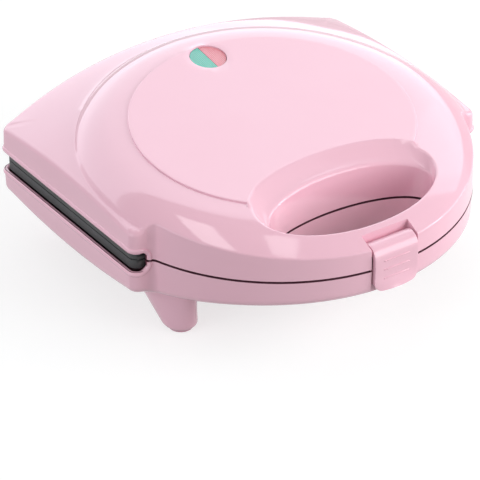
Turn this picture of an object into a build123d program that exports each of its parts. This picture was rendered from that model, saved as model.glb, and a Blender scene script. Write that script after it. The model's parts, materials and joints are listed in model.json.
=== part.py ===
from build123d import *
from math import asin, atan, degrees, radians, sqrt, tan
import os

# Sandwich maker with a hinged lid, a through finger opening and a snap latch
# Millimetres. +Z is up, the front is towards -Y, and the origin is the centre of the
# footprint, on the surface that the feet stand on

# Overall form, measured from the centre of the cooking plates and the parting plane
WIDTH = 235.0                      # across the straight side walls
PART_Z = 50.0                      # parting plane above the table
SIDE_FRONT = 69.0                  # plate centre to the front faces of the side wings
BACK_Y = 86.0                      # plate centre to the middle of the rear wall
BACK_BOW = 17.65                   # bow of the rear wall over the whole width
NOSE_Y = 36.3                      # plate centre to the centre of the round nose
NOSE_R = 110.1                     # plan radius of the round nose
WING_R = 6.0                       # plan radius of the front wing corners
TAIL_R = 5.0                       # plan radius of the rear corners
NECK_R = 5.0                       # plan radius between wing and nose
WALL = 2.5                         # casing wall
RIM_GAP = 0.5                      # each casing rim to the parting plane
DRAFT = 2.0                        # degrees of draft on the outer walls

# Crowned shoulder of both casings
CROWN_Z = 42.0                     # highest point above the parting plane
CROWN_Y = 8.0                      # how far behind the plate centre it lies
CROWN_FALL = 18.37                 # fall of the crown from its middle to the side walls
CROWN_RY = 470.0                   # crown radius from front to back
KEEL_Y = 0.0                       # the same point of the lower casing
BELLY = 38.0                       # flat underside below the parting plane
NOSE_KEEL = 14.5                   # underside of the nose at its front, below the parting plane
NOSE_RISE = 0.3                    # rise of that underside per millimetre to the front

# Dome of the lid: an oval side that rises from the shoulder to a raised top disc
DOME_A = 113.3
DOME_B = 109.0
DOME_Y = -37.0
DOME_DROP = 13.5                   # dome foot below the crown's top, at the plate centre
DOME_TILT = 0.113                  # rise of the dome foot per millimetre to the rear
DISC_A = 82.8
DISC_B = 75.6
DISC_Y = -32.3
DISC_DROP = 1.0                    # the top disc below the crown's top, at the plate centre
DISC_TILT = 0.146
DISC_STEP = 1.0                    # crisp step around the top disc
DOME_CURVE = ((0.0, 0.0), (0.12, 0.27), (0.30, 0.55), (0.55, 0.80), (1.0, 1.0))
DOME_ROOT = 14.0                   # how far the dome reaches down into the shoulder

# Finger opening through both halves of the handle
GRIP_A = 52.5
GRIP_B = 21.5
GRIP_BACK = 39.9                   # centre of the opening behind the front of the nose
GRIP_RISE = 5.0                    # foot of the sloped rim above the crown's top, at the plate centre
GRIP_TILT = 0.273
RIM_A = 58.0
RIM_B = 31.0
RIM_BACK = 6.5                     # centre of the rim behind that of the opening
RIM_DROP = 1.2                     # the rim's plane below its foot's, at the plate centre
RIM_TILT = 0.212

# Open windows that show the plate edges round the side walls
WINDOW_Z = 5.8                     # half height of the window
WINDOW_WRAP = 9.0                  # how far each window runs round onto the front and rear faces
BEAD_OUT = 1.0                     # raised bead along the window
BEAD_H = 3.2
BEAD_R = 7.0                       # rounded ends of the bead

# Cooking plates
PLATE_SIDE = 0.2                   # plate rim to the inside of the side walls
PLATE_FRONT = 3.5                  # plate rim behind the front faces of the wings
PLATE_BACK = 18.1                  # plate rim in front of the middle of the rear wall
PLATE_R = 5.0
PLATE_GAP = 0.3                    # each plate face to the parting plane
PLATE_RIM = 5.2
TUB_SIDE = 9.8                     # width of the rim that stands out past the tub
TUB_FRONT = 9.7
TUB_R = 9.0
TUB_Z = 14.0                       # back of the plate from the parting plane
POCKET_X = 93.0                    # one bread slice, which a ridge cuts corner to corner
POCKET_D = 100.0
POCKET_AT = 53.0                   # centre of a slice from the middle of the plate
POCKET_DEPTH = 10.5
POCKET_TAPER = 30.0
POCKET_R = 9.0
RIDGE = 9.0                        # shortening of both pocket legs that leaves the ridge

# Heat shields, elements and what holds them
SHIELD_SIDE = 9.0                  # shield inside the sides of the tub
SHIELD_BACK = 7.6                  # shield behind the back of the plate
SHIELD_T = 0.8
SHIELD_LIP = 4.0
SHIELD_R = 12.0
STUD_SIDE = 7.0                    # shield screws from the sides of the shield
STUD_FRONT = 11.0
STUD_R = 4.0
POST_Y = 51.0                      # long plate screws from the plate centre
POST_R = 4.0
ELEMENT_R = 3.25
ELEMENT_X = 78.0
ELEMENT_Y = 34.0
ELEMENT_BEND = 18.0
ELEMENT_END = 22.0
TERMINAL_R = 1.5
TERMINAL_L = 9.0
SEAT = 0.1                         # seating gap between pieces of one half
CLAMP_T = 0.7
CLAMP_W = 9.0
CLAMP_FOOT = 6.0
CLAMP_X = 52.0

# Screws
SHANK_R = 2.0                      # long plate screws
HEAD_R = 3.8
HEAD_H = 2.2
SCREW_GRIP = 7.0                   # length of a plate screw inside its casing post
SMALL_R = 1.5                      # shield, clamp and cover screws
SMALL_HEAD_R = 2.8
SMALL_HEAD_H = 1.6
SMALL_L = 6.0
COVER_SCREW_L = 9.0
STRAP_SCREW_L = 2.2
HOLE_FREE = 0.15                   # radial clearance of a screw in its hole

# Flat covers that close the casings outside the plates
COVER_T = 2.0
COVER_FREE = 0.4
GRIP_SCREW_X = 76.0
GRIP_SCREW_FRONT = 17.0            # handle cover screws in front of the wings
TAIL_SCREW_X = 62.0
TAIL_SCREW_BACK = 13.0             # rear cover screws in front of the rear wall
TAIL_COVER_SIDE = 21.5             # rear cover from the side walls
BOSS_R = 3.6

# Hinge
HINGE_OUT = 5.0                    # pin axis behind the rear wall, on the parting plane
HINGE_X = 45.0
HINGE_R = 5.5
KNUCKLE_W = 9.4
EAR_W = 5.0
HINGE_FREE = 0.3                   # side play of a knuckle between its ears
PIN_R = 2.0
PIN_FREE = 0.05                    # running clearance of both kinds of pin
ARM_H = 14.0
PIN_HEAD = 1.0                     # how far the hinge pins stand out of the ears

# Latch, hung on a pin in the lid and hooked over the lower handle
SLOT_SIDE = 1.1                    # side play of the latch in its slot
SLOT_FREE = 0.5                    # play behind the barrel of the latch
CATCH_DEEP = 3.8                   # depth of the recess in the lower casing
SLOT_WALL = 2.4
LATCH_X = 28.6
LATCH_BACK = 6.6                   # pin axis behind the front of the nose
LATCH_Z = 9.3
LATCH_R = 4.0                      # barrel round the pin
LATCH_PROUD = 0.8                  # face of the latch in front of the nose
LATCH_T = 2.9
LATCH_BOTTOM = -13.0
LATCH_CORNER = 4.5                 # rounded bottom corners
LATCH_PIN_R = 1.5
LIP_OUT = 2.4                      # lip of the latch in front of its face, in the middle
LIP_BULGE = 2.2                    # how far the middle of the lip stands in front of its ends
LIP_Z = -6.0                       # where the lip starts to flare
LIP_T = 2.4
HOOK_Z = -9.3                      # lower end of the inner nose
HOOK_H = 1.8
HOOK_OUT = 0.7
CATCH_Z = -6.5                     # half-round catch on the wall of the recess
CATCH_R = 0.7
CATCH_X = 14.0
GRIP_RIB_X = 16.0
GRIP_RIB_Z = (4.5, -1.0, -6.5)
GRIP_RIB_H = 0.9
GRIP_RIB_OUT = 0.5

# Indicator on the top disc: one round window, split into a green and a red lens
LAMP_Y = 32.0
LAMP_R = 10.5
LAMP_FREE = 0.2
LAMP_SINK = 0.6
LAMP_SPLIT = 0.3
LENS_DROP = 0.6                    # room for the flange under the edge of the disc
LENS_FLANGE = 1.4
LENS_FLANGE_T = 1.0
HOLDER_H = 11.0
HOLDER_T = 1.0
NEON_R = 2.4
NEON_L = 12.0
NEON_X = 5.2

# Legs and feet
LEG_FRONT_SIDE = 30.5              # front legs from the side walls and behind the wings' front
LEG_FRONT_BACK = 0.5
LEG_REAR_SIDE = 37.5               # rear legs from the side walls and in front of the rear wall
LEG_REAR_FRONT = 30.0
LEG_R = 9.5
LEG_TOP_X = 15.5                   # half width at the casing
LEG_FRONT_TOP = 41.0               # half length of a front leg at the casing
LEG_REAR_TOP = 27.0
LEG_FRONT_LEAN = 30.0              # the top lies this much nearer the middle
LEG_REAR_LEAN = 16.0
LEG_TOP = -12.0                    # top of the leg, buried in the casing
PAD_R = 6.8
PAD_T = 2.2
PAD_OUT = 1.5

# Electrical parts
STAT_X = -30.0
STAT_R = 8.0
STAT_H = 5.6
FUSE_X = 30.0
FUSE_R = 2.0
FUSE_L = 12.0
BLOCK_X = 26.0
BLOCK_D = 9.0
BLOCK_FREE = 2.0                   # terminal block to the heat shield
BLOCK_AT = (-22.0, 42.0)
BLOCK_WAYS = 3
BLOCK_SCREW_R = 2.0
GLAND_X = 0.0
GLAND_Z = -20.0
GLAND_R = 6.0
GLAND_BORE = 3.6
GLAND_FLANGE = 8.5
GLAND_FLANGE_T = 2.5
GLAND_PROUD = 1.0                  # flat seat for the gland behind the rear wall

# Sizes and places that follow from those above
NOSE_FRONT = -NOSE_Y - NOSE_R
BACK_R = (WIDTH**2 / 4 + BACK_BOW**2) / (2 * BACK_BOW)
CROWN_RX = (WIDTH**2 / 4 + CROWN_FALL**2) / (2 * CROWN_FALL)
DOME_Z = CROWN_Z - DOME_DROP
DISC_Z = CROWN_Z - DISC_DROP
GRIP_Y = NOSE_FRONT + GRIP_BACK
GRIP_Z = CROWN_Z + GRIP_RISE
RIM_Y = GRIP_Y + RIM_BACK
RIM_Z = GRIP_Z - RIM_DROP
WINDOW_X = WIDTH / 2 - WINDOW_WRAP
PLATE_X = WIDTH - 2 * (WALL + PLATE_SIDE)
PLATE_D = SIDE_FRONT - PLATE_FRONT + BACK_Y - PLATE_BACK
PLATE_MID = (PLATE_FRONT - SIDE_FRONT + BACK_Y - PLATE_BACK) / 2
TUB_X = PLATE_X - 2 * TUB_SIDE
TUB_D = PLATE_D - 2 * TUB_FRONT
SHIELD_X = TUB_X - 2 * SHIELD_SIDE
SHIELD_D = TUB_D
SHIELD_Z = TUB_Z + SHIELD_BACK
STUD_X = SHIELD_X / 2 - STUD_SIDE
STUD_Y = SHIELD_D / 2 - STUD_FRONT
GRIP_SCREW_Y = -SIDE_FRONT - GRIP_SCREW_FRONT
TAIL_SCREW_Y = BACK_Y - TAIL_SCREW_BACK
TAIL_COVER_X = WIDTH / 2 - TAIL_COVER_SIDE
HINGE_Y = BACK_Y + HINGE_OUT
LATCH_Y = NOSE_FRONT + LATCH_BACK
LATCH_FACE = NOSE_FRONT - LATCH_PROUD
SLOT_X = LATCH_X + 2 * SLOT_SIDE
SLOT_BACK = LATCH_Y + LATCH_R + SLOT_FREE
CATCH_BACK = NOSE_FRONT + CATCH_DEEP
LEG_FRONT = (WIDTH / 2 - LEG_FRONT_SIDE, LEG_FRONT_BACK - SIDE_FRONT)
LEG_REAR = (WIDTH / 2 - LEG_REAR_SIDE, BACK_Y - LEG_REAR_FRONT)
GLAND_SEAT = BACK_Y + GLAND_PROUD
PLATE_Y = (LIP_OUT - LATCH_FACE - HINGE_Y - HINGE_R) / 2
SLEEVE = SHIELD_Z + SHIELD_T
BLOCK_H = BELLY - WALL - SEAT - SLEEVE - BLOCK_FREE
STUDS = [(x, y) for x in (-STUD_X, STUD_X) for y in (-STUD_Y, STUD_Y)]
LENS_BACK = WALL + DISC_STEP + LENS_DROP
SENSOR_X = {1: STAT_X, -1: FUSE_X}
SENSOR_HALF = {1: STAT_R + SEAT, -1: FUSE_R + SEAT}
SENSOR_W = {1: 5.0, -1: 6.0}
WALL_TOP = DISC_Z + DISC_TILT * (DISC_Y + DISC_B) + WALL
HALVES = {"upper": 1, "lower": -1}


def layer(height, up=1):
    """Plane at a height from the parting plane, facing away from it."""
    return Plane((0, PLATE_Y, PART_Z + up * height), x_dir=(up, 0, 0), z_dir=(0, 0, up))


def profile(x=0.0):
    """Upright plane across the width, with its first axis to the rear."""
    return Plane((x, PLATE_Y, PART_Z), x_dir=(0, 1, 0), z_dir=(1, 0, 0))


def tilted(y, z, tilt):
    """Plane that rises to the rear, through a point on the middle plane."""
    return Plane((0, PLATE_Y + y, PART_Z + z), x_dir=(1, 0, 0), z_dir=(0, -tilt, 1))


def oval(a, b, y, z, tilt):
    """Oval sketch on a tilted plane, with its half sizes given in plan."""
    with BuildSketch(tilted(y, z + tilt * y, tilt)) as shape:
        Ellipse(a, b * sqrt(1 + tilt**2))
    return shape.sketch


def outline(plane, inset=0.0):
    """Plan of a casing: straight sides, a shallow rear arc and a round nose."""
    half = WIDTH / 2 - inset
    front = SIDE_FRONT - inset
    back_r = BACK_R - inset
    nose_r = NOSE_R - inset
    tail = BACK_Y - BACK_R + sqrt(back_r**2 - half**2)
    neck = sqrt(nose_r**2 - (front - NOSE_Y) ** 2)
    with BuildSketch(plane) as plan:
        with BuildLine():
            Line((half, -front), (half, tail))
            ThreePointArc((half, tail), (0, BACK_Y - inset), (-half, tail))
            Polyline((-half, tail), (-half, -front), (-neck, -front))
            ThreePointArc((-neck, -front), (0, -NOSE_Y - nose_r), (neck, -front))
            Line((neck, -front), (half, -front))
        make_face()
        fillet(plan.vertices().group_by(Axis.Y)[-1], TAIL_R - inset)
        corners = [v for v in plan.vertices() if abs(v.X) > half - 0.01 and v.Y < 0]
        fillet(corners, WING_R - inset)
        necks = [v for v in plan.vertices() if abs(abs(v.X) - neck) < 0.01]
        fillet(necks, NECK_R + inset)
    return plan.sketch


def crown(up, inset):
    """Block with a double-crowned outer face, the shoulder of a casing."""
    reach = WIDTH / 2 + WALL
    top = CROWN_Z - inset
    drop = CROWN_RX - sqrt(CROWN_RX**2 - reach**2)
    middle = PLATE_Y + (CROWN_Y if up > 0 else KEEL_Y)
    axis = Axis((0, middle, PART_Z + up * (CROWN_Z - CROWN_RY)), (1, 0, 0))
    swing = degrees(asin((SIDE_FRONT + NOSE_R) / CROWN_RY))
    section_plane = Plane((0, middle, PART_Z), x_dir=(up, 0, 0), z_dir=(0, -1, 0))
    with BuildPart() as block:
        with BuildSketch(section_plane) as section:
            with BuildLine():
                ThreePointArc((-reach, top - drop), (0, top), (reach, top - drop))
                Polyline(
                    (reach, top - drop), (reach, -CROWN_Z), (-reach, -CROWN_Z), (-reach, top - drop)
                )
            make_face()
        revolve(axis=axis, revolution_arc=swing)
        revolve(section.sketch, axis=axis, revolution_arc=-swing)
    return block.part


def nose_ramp(inset):
    """Block whose underside rises to the front, below the handle of the lower casing."""
    reach = WIDTH / 2 + WALL
    depth = NOSE_KEEL - inset
    drop = CROWN_RX - sqrt(CROWN_RX**2 - reach**2)
    front = Plane(
        (0, PLATE_Y - NOSE_Y - NOSE_R, PART_Z - depth), x_dir=(1, 0, 0), z_dir=(0, -1, 0)
    )
    with BuildPart() as block:
        with BuildSketch(front):
            with BuildLine():
                ThreePointArc((-reach, drop), (0, 0), (reach, drop))
                Polyline((reach, drop), (reach, WIDTH), (-reach, WIDTH), (-reach, drop))
            make_face()
        extrude(amount=3 * NOSE_R, dir=(0, 1, -NOSE_RISE))
    return block.part


def dome(inset):
    """Dome of the lid: an oval root, a rounded side and the raised top disc."""
    with BuildPart() as solid:
        for depth in (DOME_ROOT, 0):
            add(oval(DOME_A - inset, DOME_B - inset, DOME_Y, DOME_Z - inset - depth, DOME_TILT))
        loft()
        for run, rise in DOME_CURVE:
            a = DOME_A + (DISC_A - DOME_A) * run - inset
            b = DOME_B + (DISC_B - DOME_B) * run - inset
            y = DOME_Y + (DISC_Y - DOME_Y) * run
            z = DOME_Z + (DISC_Z - DISC_STEP - DOME_Z) * rise - inset
            add(oval(a, b, y, z, DOME_TILT + (DISC_TILT - DOME_TILT) * rise))
        loft()
        add(oval(DISC_A - inset, DISC_B - inset, DISC_Y, DISC_Z - DISC_STEP - inset, DISC_TILT))
        extrude(amount=DISC_STEP)
    return solid.part


def casing_form(up, inset=0.0):
    """Solid outer form of a casing, or its cavity where an inset is given."""
    front = -SIDE_FRONT - 1
    far = -2 * NOSE_R
    shoulder = crown(up, inset)
    top = dome(inset)
    ramp = nose_ramp(inset)
    disc_foot = oval(DISC_A - inset, DISC_B - inset, DISC_Y, DISC_Z - 2 * DISC_STEP - inset, DISC_TILT)
    start = -RIM_GAP if inset else RIM_GAP
    with BuildPart() as envelope:
        add(shoulder)
        if up > 0:
            with BuildSketch(profile()):
                with BuildLine():
                    Polyline(
                        (front, DOME_Z + DOME_TILT * front - inset),
                        (far, DOME_Z + DOME_TILT * far - inset),
                        (far, 2 * CROWN_Z),
                        (front, 2 * CROWN_Z),
                        close=True,
                    )
                make_face()
            extrude(amount=WIDTH, both=True, mode=Mode.SUBTRACT)
            extrude(disc_foot, amount=CROWN_Z, mode=Mode.SUBTRACT)
            add(top)
    with BuildPart() as form:
        add(outline(layer(start, up), inset))
        add(outline(layer(WALL_TOP, up), inset + WALL_TOP * tan(radians(DRAFT))))
        loft(ruled=True)
        add(envelope.part, mode=Mode.INTERSECT)
        if up < 0:
            add(ramp, mode=Mode.INTERSECT)
            with BuildSketch(layer(BELLY - inset, up)):
                Rectangle(2 * WIDTH, 2 * WIDTH)
            extrude(amount=CROWN_Z, mode=Mode.SUBTRACT)
    return form.part


def grip_hole(grow=0.0):
    """Finger opening: an upright oval well with a sloped, wider rim on the lid."""
    foot = oval(GRIP_A + grow, GRIP_B + grow, GRIP_Y, GRIP_Z, GRIP_TILT)
    flare = oval(
        2 * RIM_A - GRIP_A + grow,
        2 * RIM_B - GRIP_B + grow,
        2 * RIM_Y - GRIP_Y,
        2 * RIM_Z - GRIP_Z,
        2 * RIM_TILT - GRIP_TILT,
    )
    with BuildPart() as hole:
        add(oval(GRIP_A + grow, GRIP_B + grow, GRIP_Y, -2 * CROWN_Z, 0))
        add(foot)
        loft()
        add(foot)
        add(flare)
        loft()
    return hole.part


def latch_well(up, grow=0.0):
    """Straight-sided block of the latch slot in one casing."""
    back = SLOT_BACK if up > 0 else CATCH_BACK
    depth = NOSE_R
    with BuildPart() as well:
        with BuildSketch(layer(-RIM_GAP, up)):
            with Locations((0, back + grow - depth / 2)):
                Rectangle(SLOT_X + 2 * grow, depth)
        extrude(amount=2 * CROWN_Z)
    return well.part


def cover_spots(front):
    """Screw places of one cover."""
    if front:
        return [(-GRIP_SCREW_X, GRIP_SCREW_Y), (GRIP_SCREW_X, GRIP_SCREW_Y)]
    return [(-TAIL_SCREW_X, TAIL_SCREW_Y), (TAIL_SCREW_X, TAIL_SCREW_Y)]


def countersunk(plane, spots, head_r, head_h, shank_r, length, grow=0.0):
    """Countersunk screws, or their holes where they grow, with the heads on the plane."""
    flare = degrees(atan((head_r - shank_r) / head_h))
    with BuildPart() as screws:
        with BuildSketch(plane):
            with Locations(*spots):
                Circle(head_r + grow)
        extrude(amount=head_h, taper=flare)
        with BuildSketch(plane):
            with Locations(*spots):
                Circle(shank_r + grow)
        extrude(amount=length + grow)
    return screws.part


def pan_head(plane, spots, length):
    """Small screws whose heads stand on the plane and whose shanks go below it."""
    with BuildPart() as screws:
        with BuildSketch(plane):
            with Locations(*spots):
                Circle(SMALL_HEAD_R)
        extrude(amount=SMALL_HEAD_H)
        with BuildSketch(plane):
            with Locations(*spots):
                Circle(SMALL_R)
        extrude(amount=-length)
    return screws.part


def bead(up):
    """Raised bead that frames both windows of a casing."""
    inner = WINDOW_X - BEAD_H
    length = WIDTH / 2
    middle = inner + length / 2
    with BuildPart() as frame:
        add(outline(layer(RIM_GAP, up), -BEAD_OUT))
        extrude(amount=WINDOW_Z + BEAD_H - RIM_GAP, dir=(0, 0, up))
        with BuildSketch(Plane.XZ.offset(-PLATE_Y)):
            with Locations((middle, PART_Z), (-middle, PART_Z)):
                RectangleRounded(length, 2 * (WINDOW_Z + BEAD_H), BEAD_R)
        extrude(amount=NOSE_R, both=True, mode=Mode.INTERSECT)
    return frame.part


def hinge_lobe(up, x, width):
    """Round hinge lug with the arm that carries it to the rear wall."""
    root = BACK_Y - 2 * WALL
    with BuildPart() as lobe:
        with BuildSketch(profile(x)):
            with Locations((HINGE_Y, 0)):
                Circle(HINGE_R)
            with BuildLine():
                Polyline(
                    (root, up * RIM_GAP),
                    (root, up * ARM_H),
                    (HINGE_Y - HINGE_R, up * ARM_H),
                    (HINGE_Y + HINGE_R, 0),
                    (HINGE_Y, 0),
                    close=True,
                )
            make_face()
        extrude(amount=width)
    return lobe.part


def hinge_rod(radius, x, width):
    """Rod on the hinge axis."""
    with BuildPart() as rod:
        with BuildSketch(profile(x)):
            with Locations((HINGE_Y, 0)):
                Circle(radius)
        extrude(amount=width)
    return rod.part


def leg(x, y, inset=0.0):
    """Tapered leg that leans in towards the middle of the plates at its top."""
    lean, reach = (LEG_FRONT_LEAN, LEG_FRONT_TOP) if y < 0 else (-LEG_REAR_LEAN, LEG_REAR_TOP)
    foot = Plane((x, PLATE_Y + y, PAD_OUT + inset))
    top = Plane((x, PLATE_Y + y + lean, PART_Z + LEG_TOP))
    with BuildPart() as column:
        with BuildSketch(foot):
            Ellipse(LEG_R - inset, LEG_R - inset)
        with BuildSketch(top):
            Ellipse(LEG_TOP_X - inset, reach - inset)
        loft()
    return column.part


LEGS = [(side * x, y) for side in (-1, 1) for x, y in (LEG_FRONT, LEG_REAR)]


def lamp_plane(depth=0.0):
    """Plane of the top disc at the indicator, or below it."""
    z = DISC_Z + DISC_TILT * LAMP_Y
    return tilted(LAMP_Y, z, DISC_TILT).offset(-depth)


def casing(up):
    """Casing of one half with its collar, posts, bosses, hinge lugs and latch slot."""
    form = casing_form(up)
    hollow = casing_form(up, WALL)
    collar = grip_hole(WALL)
    slot_block = latch_well(up, SLOT_WALL)
    with BuildPart() as cavity:
        add(hollow)
        add(collar, mode=Mode.SUBTRACT)
        add(slot_block, mode=Mode.SUBTRACT)
        with BuildSketch(layer(SLEEVE + SEAT, up)):
            with Locations((0, POST_Y), (0, -POST_Y)):
                Circle(POST_R)
        extrude(amount=2 * CROWN_Z, mode=Mode.SUBTRACT)
        with BuildSketch(layer(RIM_GAP + COVER_T, up)):
            with Locations(*cover_spots(True), *cover_spots(False)):
                Circle(BOSS_R)
        extrude(amount=2 * CROWN_Z, mode=Mode.SUBTRACT)
    reach = KNUCKLE_W / 2 + HINGE_FREE
    sides = (-HINGE_X, HINGE_X)
    if up > 0:
        added = [hinge_lobe(up, x - KNUCKLE_W / 2, KNUCKLE_W) for x in sides]
        cuts = []
    else:
        ears = [(x, dx) for x in sides for dx in (-reach - EAR_W, reach)]
        added = [hinge_lobe(up, x + dx, EAR_W) for x, dx in ears]
        added += [leg(x, y) for x, y in LEGS]
        cuts = [leg(x, y, WALL) for x, y in LEGS]
    added.append(bead(up))
    span = 2 * (HINGE_X + reach + EAR_W)
    cuts.append(hinge_rod(PIN_R + PIN_FREE, -span / 2, span))
    cuts.append(grip_hole())
    cuts.append(latch_well(up))
    with BuildPart() as shell:
        add(form)
        add(added)
        if up < 0:
            with BuildSketch(gland_plane(GLAND_SEAT)):
                Circle(GLAND_FLANGE)
            extrude(amount=-(GLAND_SEAT - BACK_Y + 2 * WALL))
        add(cavity.part, mode=Mode.SUBTRACT)
        add(cuts, mode=Mode.SUBTRACT)
        for x in (-WINDOW_X - WIDTH / 2, WINDOW_X + WIDTH / 2):
            with Locations((x, PLATE_Y, PART_Z)):
                Box(WIDTH, WIDTH, 2 * WINDOW_Z, mode=Mode.SUBTRACT)
        with BuildSketch(layer(SLEEVE, up)):
            with Locations((0, POST_Y), (0, -POST_Y)):
                Circle(SHANK_R + HOLE_FREE)
        extrude(amount=SCREW_GRIP + SEAT, mode=Mode.SUBTRACT)
        with BuildSketch(layer(RIM_GAP, up)):
            with Locations(*cover_spots(True), *cover_spots(False)):
                Circle(SMALL_R + HOLE_FREE)
        extrude(amount=COVER_SCREW_L + HOLE_FREE, mode=Mode.SUBTRACT)
        if up > 0:
            with BuildSketch(lamp_plane(-DISC_STEP)):
                Circle(LAMP_R + LAMP_FREE)
            extrude(amount=-2 * WALL - 2 * DISC_STEP, mode=Mode.SUBTRACT)
            with BuildSketch(profile(-SLOT_X / 2 - SLOT_WALL)):
                with Locations((LATCH_Y, LATCH_Z)):
                    Circle(LATCH_PIN_R + PIN_FREE)
            extrude(amount=SLOT_X + 2 * SLOT_WALL, mode=Mode.SUBTRACT)
        else:
            with BuildSketch(gland_plane(GLAND_SEAT)):
                Circle(GLAND_R + SEAT)
            extrude(amount=-(GLAND_SEAT - BACK_Y + 4 * WALL), mode=Mode.SUBTRACT)
            for x, y in LEGS:
                with BuildSketch(Plane((x, PLATE_Y + y, PAD_OUT))):
                    Circle(PAD_R + SEAT)
                extrude(amount=PAD_T - PAD_OUT, mode=Mode.SUBTRACT)
            with BuildSketch(profile(-CATCH_X / 2)):
                with Locations((CATCH_BACK, CATCH_Z)):
                    Circle(CATCH_R)
            extrude(amount=CATCH_X)
    return shell.part


def gland_plane(y):
    """Plane square to the cord inlet, facing the rear."""
    return Plane(
        (GLAND_X, PLATE_Y + y, PART_Z + GLAND_Z), x_dir=(-1, 0, 0), z_dir=(0, 1, 0)
    )


def cooking_plate(up):
    """Plate with a rim, a tub and four triangular pockets, two for each slice."""
    legs_x = POCKET_X - RIDGE
    legs_y = POCKET_D - RIDGE * POCKET_D / POCKET_X
    holes = countersunk(
        layer(PLATE_GAP, up), [(0, POST_Y), (0, -POST_Y)], HEAD_R, HEAD_H, SHANK_R, 2 * TUB_Z, HOLE_FREE
    )
    with BuildPart() as plate:
        with BuildSketch(layer(PLATE_GAP, up)):
            with Locations((0, PLATE_MID)):
                RectangleRounded(PLATE_X, PLATE_D, PLATE_R)
        extrude(amount=PLATE_RIM)
        with BuildSketch(layer(PLATE_GAP, up)):
            RectangleRounded(TUB_X, TUB_D, TUB_R)
        extrude(amount=TUB_Z - PLATE_GAP)
        with BuildSketch(layer(TUB_Z, up)):
            with Locations(*STUDS):
                Circle(STUD_R)
            with Locations((0, POST_Y), (0, -POST_Y)):
                Circle(POST_R)
        extrude(amount=SHIELD_Z - TUB_Z)
        for side in (-1, 1):
            for turn in (-1, 1):
                x = side * (POCKET_AT + turn * POCKET_X / 2)
                y = turn * POCKET_D / 2
                corners = [(x, y), (x - side * turn * legs_x, y), (x, y - turn * legs_y)]
                with BuildSketch(layer(PLATE_GAP, up)) as pocket:
                    with BuildLine():
                        Polyline(*corners[::side], close=True)
                    make_face()
                    fillet(pocket.vertices(), POCKET_R)
                extrude(amount=POCKET_DEPTH, taper=POCKET_TAPER, mode=Mode.SUBTRACT)
        add(holes, mode=Mode.SUBTRACT)
        with BuildSketch(layer(SHIELD_Z, up)):
            with Locations(*STUDS):
                Circle(SMALL_R + HOLE_FREE)
        extrude(amount=-SMALL_L, mode=Mode.SUBTRACT)
        with BuildSketch(layer(TUB_Z, up)):
            with Locations(*strap_screws(up)):
                Circle(SMALL_R + HOLE_FREE)
        extrude(amount=-STRAP_SCREW_L, mode=Mode.SUBTRACT)
    return plate.part


def heat_shield(up):
    """Sheet tray behind the element, screwed to the studs of the plate."""
    inner_x = SHIELD_X - 2 * SHIELD_T
    inner_y = SHIELD_D - 2 * SHIELD_T
    with BuildPart() as tray:
        with BuildSketch(layer(SHIELD_Z - SHIELD_LIP, up)):
            RectangleRounded(SHIELD_X, SHIELD_D, SHIELD_R)
        extrude(amount=SHIELD_LIP + SHIELD_T)
        with BuildSketch(layer(SHIELD_Z - SHIELD_LIP, up)):
            RectangleRounded(inner_x, inner_y, SHIELD_R - SHIELD_T)
        extrude(amount=SHIELD_LIP, mode=Mode.SUBTRACT)
        with BuildSketch(layer(SHIELD_Z, up)):
            with Locations(*STUDS):
                Circle(SMALL_R + HOLE_FREE)
            with Locations((0, POST_Y), (0, -POST_Y)):
                Circle(SHANK_R + HOLE_FREE)
        extrude(amount=SHIELD_T, mode=Mode.SUBTRACT)
    return tray.part


def element(up):
    """Tubular heater bent into an open loop, with a terminal at each end."""
    height = TUB_Z + SEAT + ELEMENT_R
    points = [
        (-ELEMENT_END, ELEMENT_Y),
        (-ELEMENT_X, ELEMENT_Y),
        (-ELEMENT_X, -ELEMENT_Y),
        (ELEMENT_X, -ELEMENT_Y),
        (ELEMENT_X, ELEMENT_Y),
        (ELEMENT_END, ELEMENT_Y),
    ]
    with BuildPart() as heater:
        with BuildLine(layer(height, up)) as path:
            FilletPolyline(*points, radius=ELEMENT_BEND)
        wire = path.wires()[0]
        with BuildSketch(Plane(wire @ 0, z_dir=wire % 0)):
            Circle(ELEMENT_R)
        sweep(path=wire)
        for end in (-1, 1):
            start = Plane(
                (end * ELEMENT_END, PLATE_Y + ELEMENT_Y, PART_Z + up * height), z_dir=(-end, 0, 0)
            )
            with BuildSketch(start):
                Circle(TERMINAL_R)
            extrude(amount=TERMINAL_L)
    return heater.part


def strap(up, x, y, half, rise, width):
    """Bent strap over a part on the back of a plate, with a foot on each side."""
    t = CLAMP_T
    out = half + t
    with BuildPart() as bent:
        with BuildSketch(profile(x - width / 2)):
            with BuildLine():
                Polyline(
                    (y - out - CLAMP_FOOT, up * TUB_Z),
                    (y - out - CLAMP_FOOT, up * (TUB_Z + t)),
                    (y - out, up * (TUB_Z + t)),
                    (y - out, up * (TUB_Z + rise + t)),
                    (y + out, up * (TUB_Z + rise + t)),
                    (y + out, up * (TUB_Z + t)),
                    (y + out + CLAMP_FOOT, up * (TUB_Z + t)),
                    (y + out + CLAMP_FOOT, up * TUB_Z),
                    (y + half, up * TUB_Z),
                    (y + half, up * (TUB_Z + rise)),
                    (y - half, up * (TUB_Z + rise)),
                    (y - half, up * TUB_Z),
                    close=True,
                )
            make_face()
        extrude(amount=width)
        with BuildSketch(layer(TUB_Z, up)):
            with Locations(*strap_holes(up * x, y, half)):
                Circle(SMALL_R + HOLE_FREE)
        extrude(amount=CLAMP_T, mode=Mode.SUBTRACT)
    return bent.part


def strap_holes(x, y, half):
    """Screw places in the two feet of a strap."""
    middle = half + CLAMP_T + CLAMP_FOOT / 2
    return [(x, y - middle), (x, y + middle)]


def clamp_places():
    """Where the element clamps sit on the back of each plate."""
    return [(x, y) for x in (-CLAMP_X, CLAMP_X) for y in (-ELEMENT_Y, ELEMENT_Y)]


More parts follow.
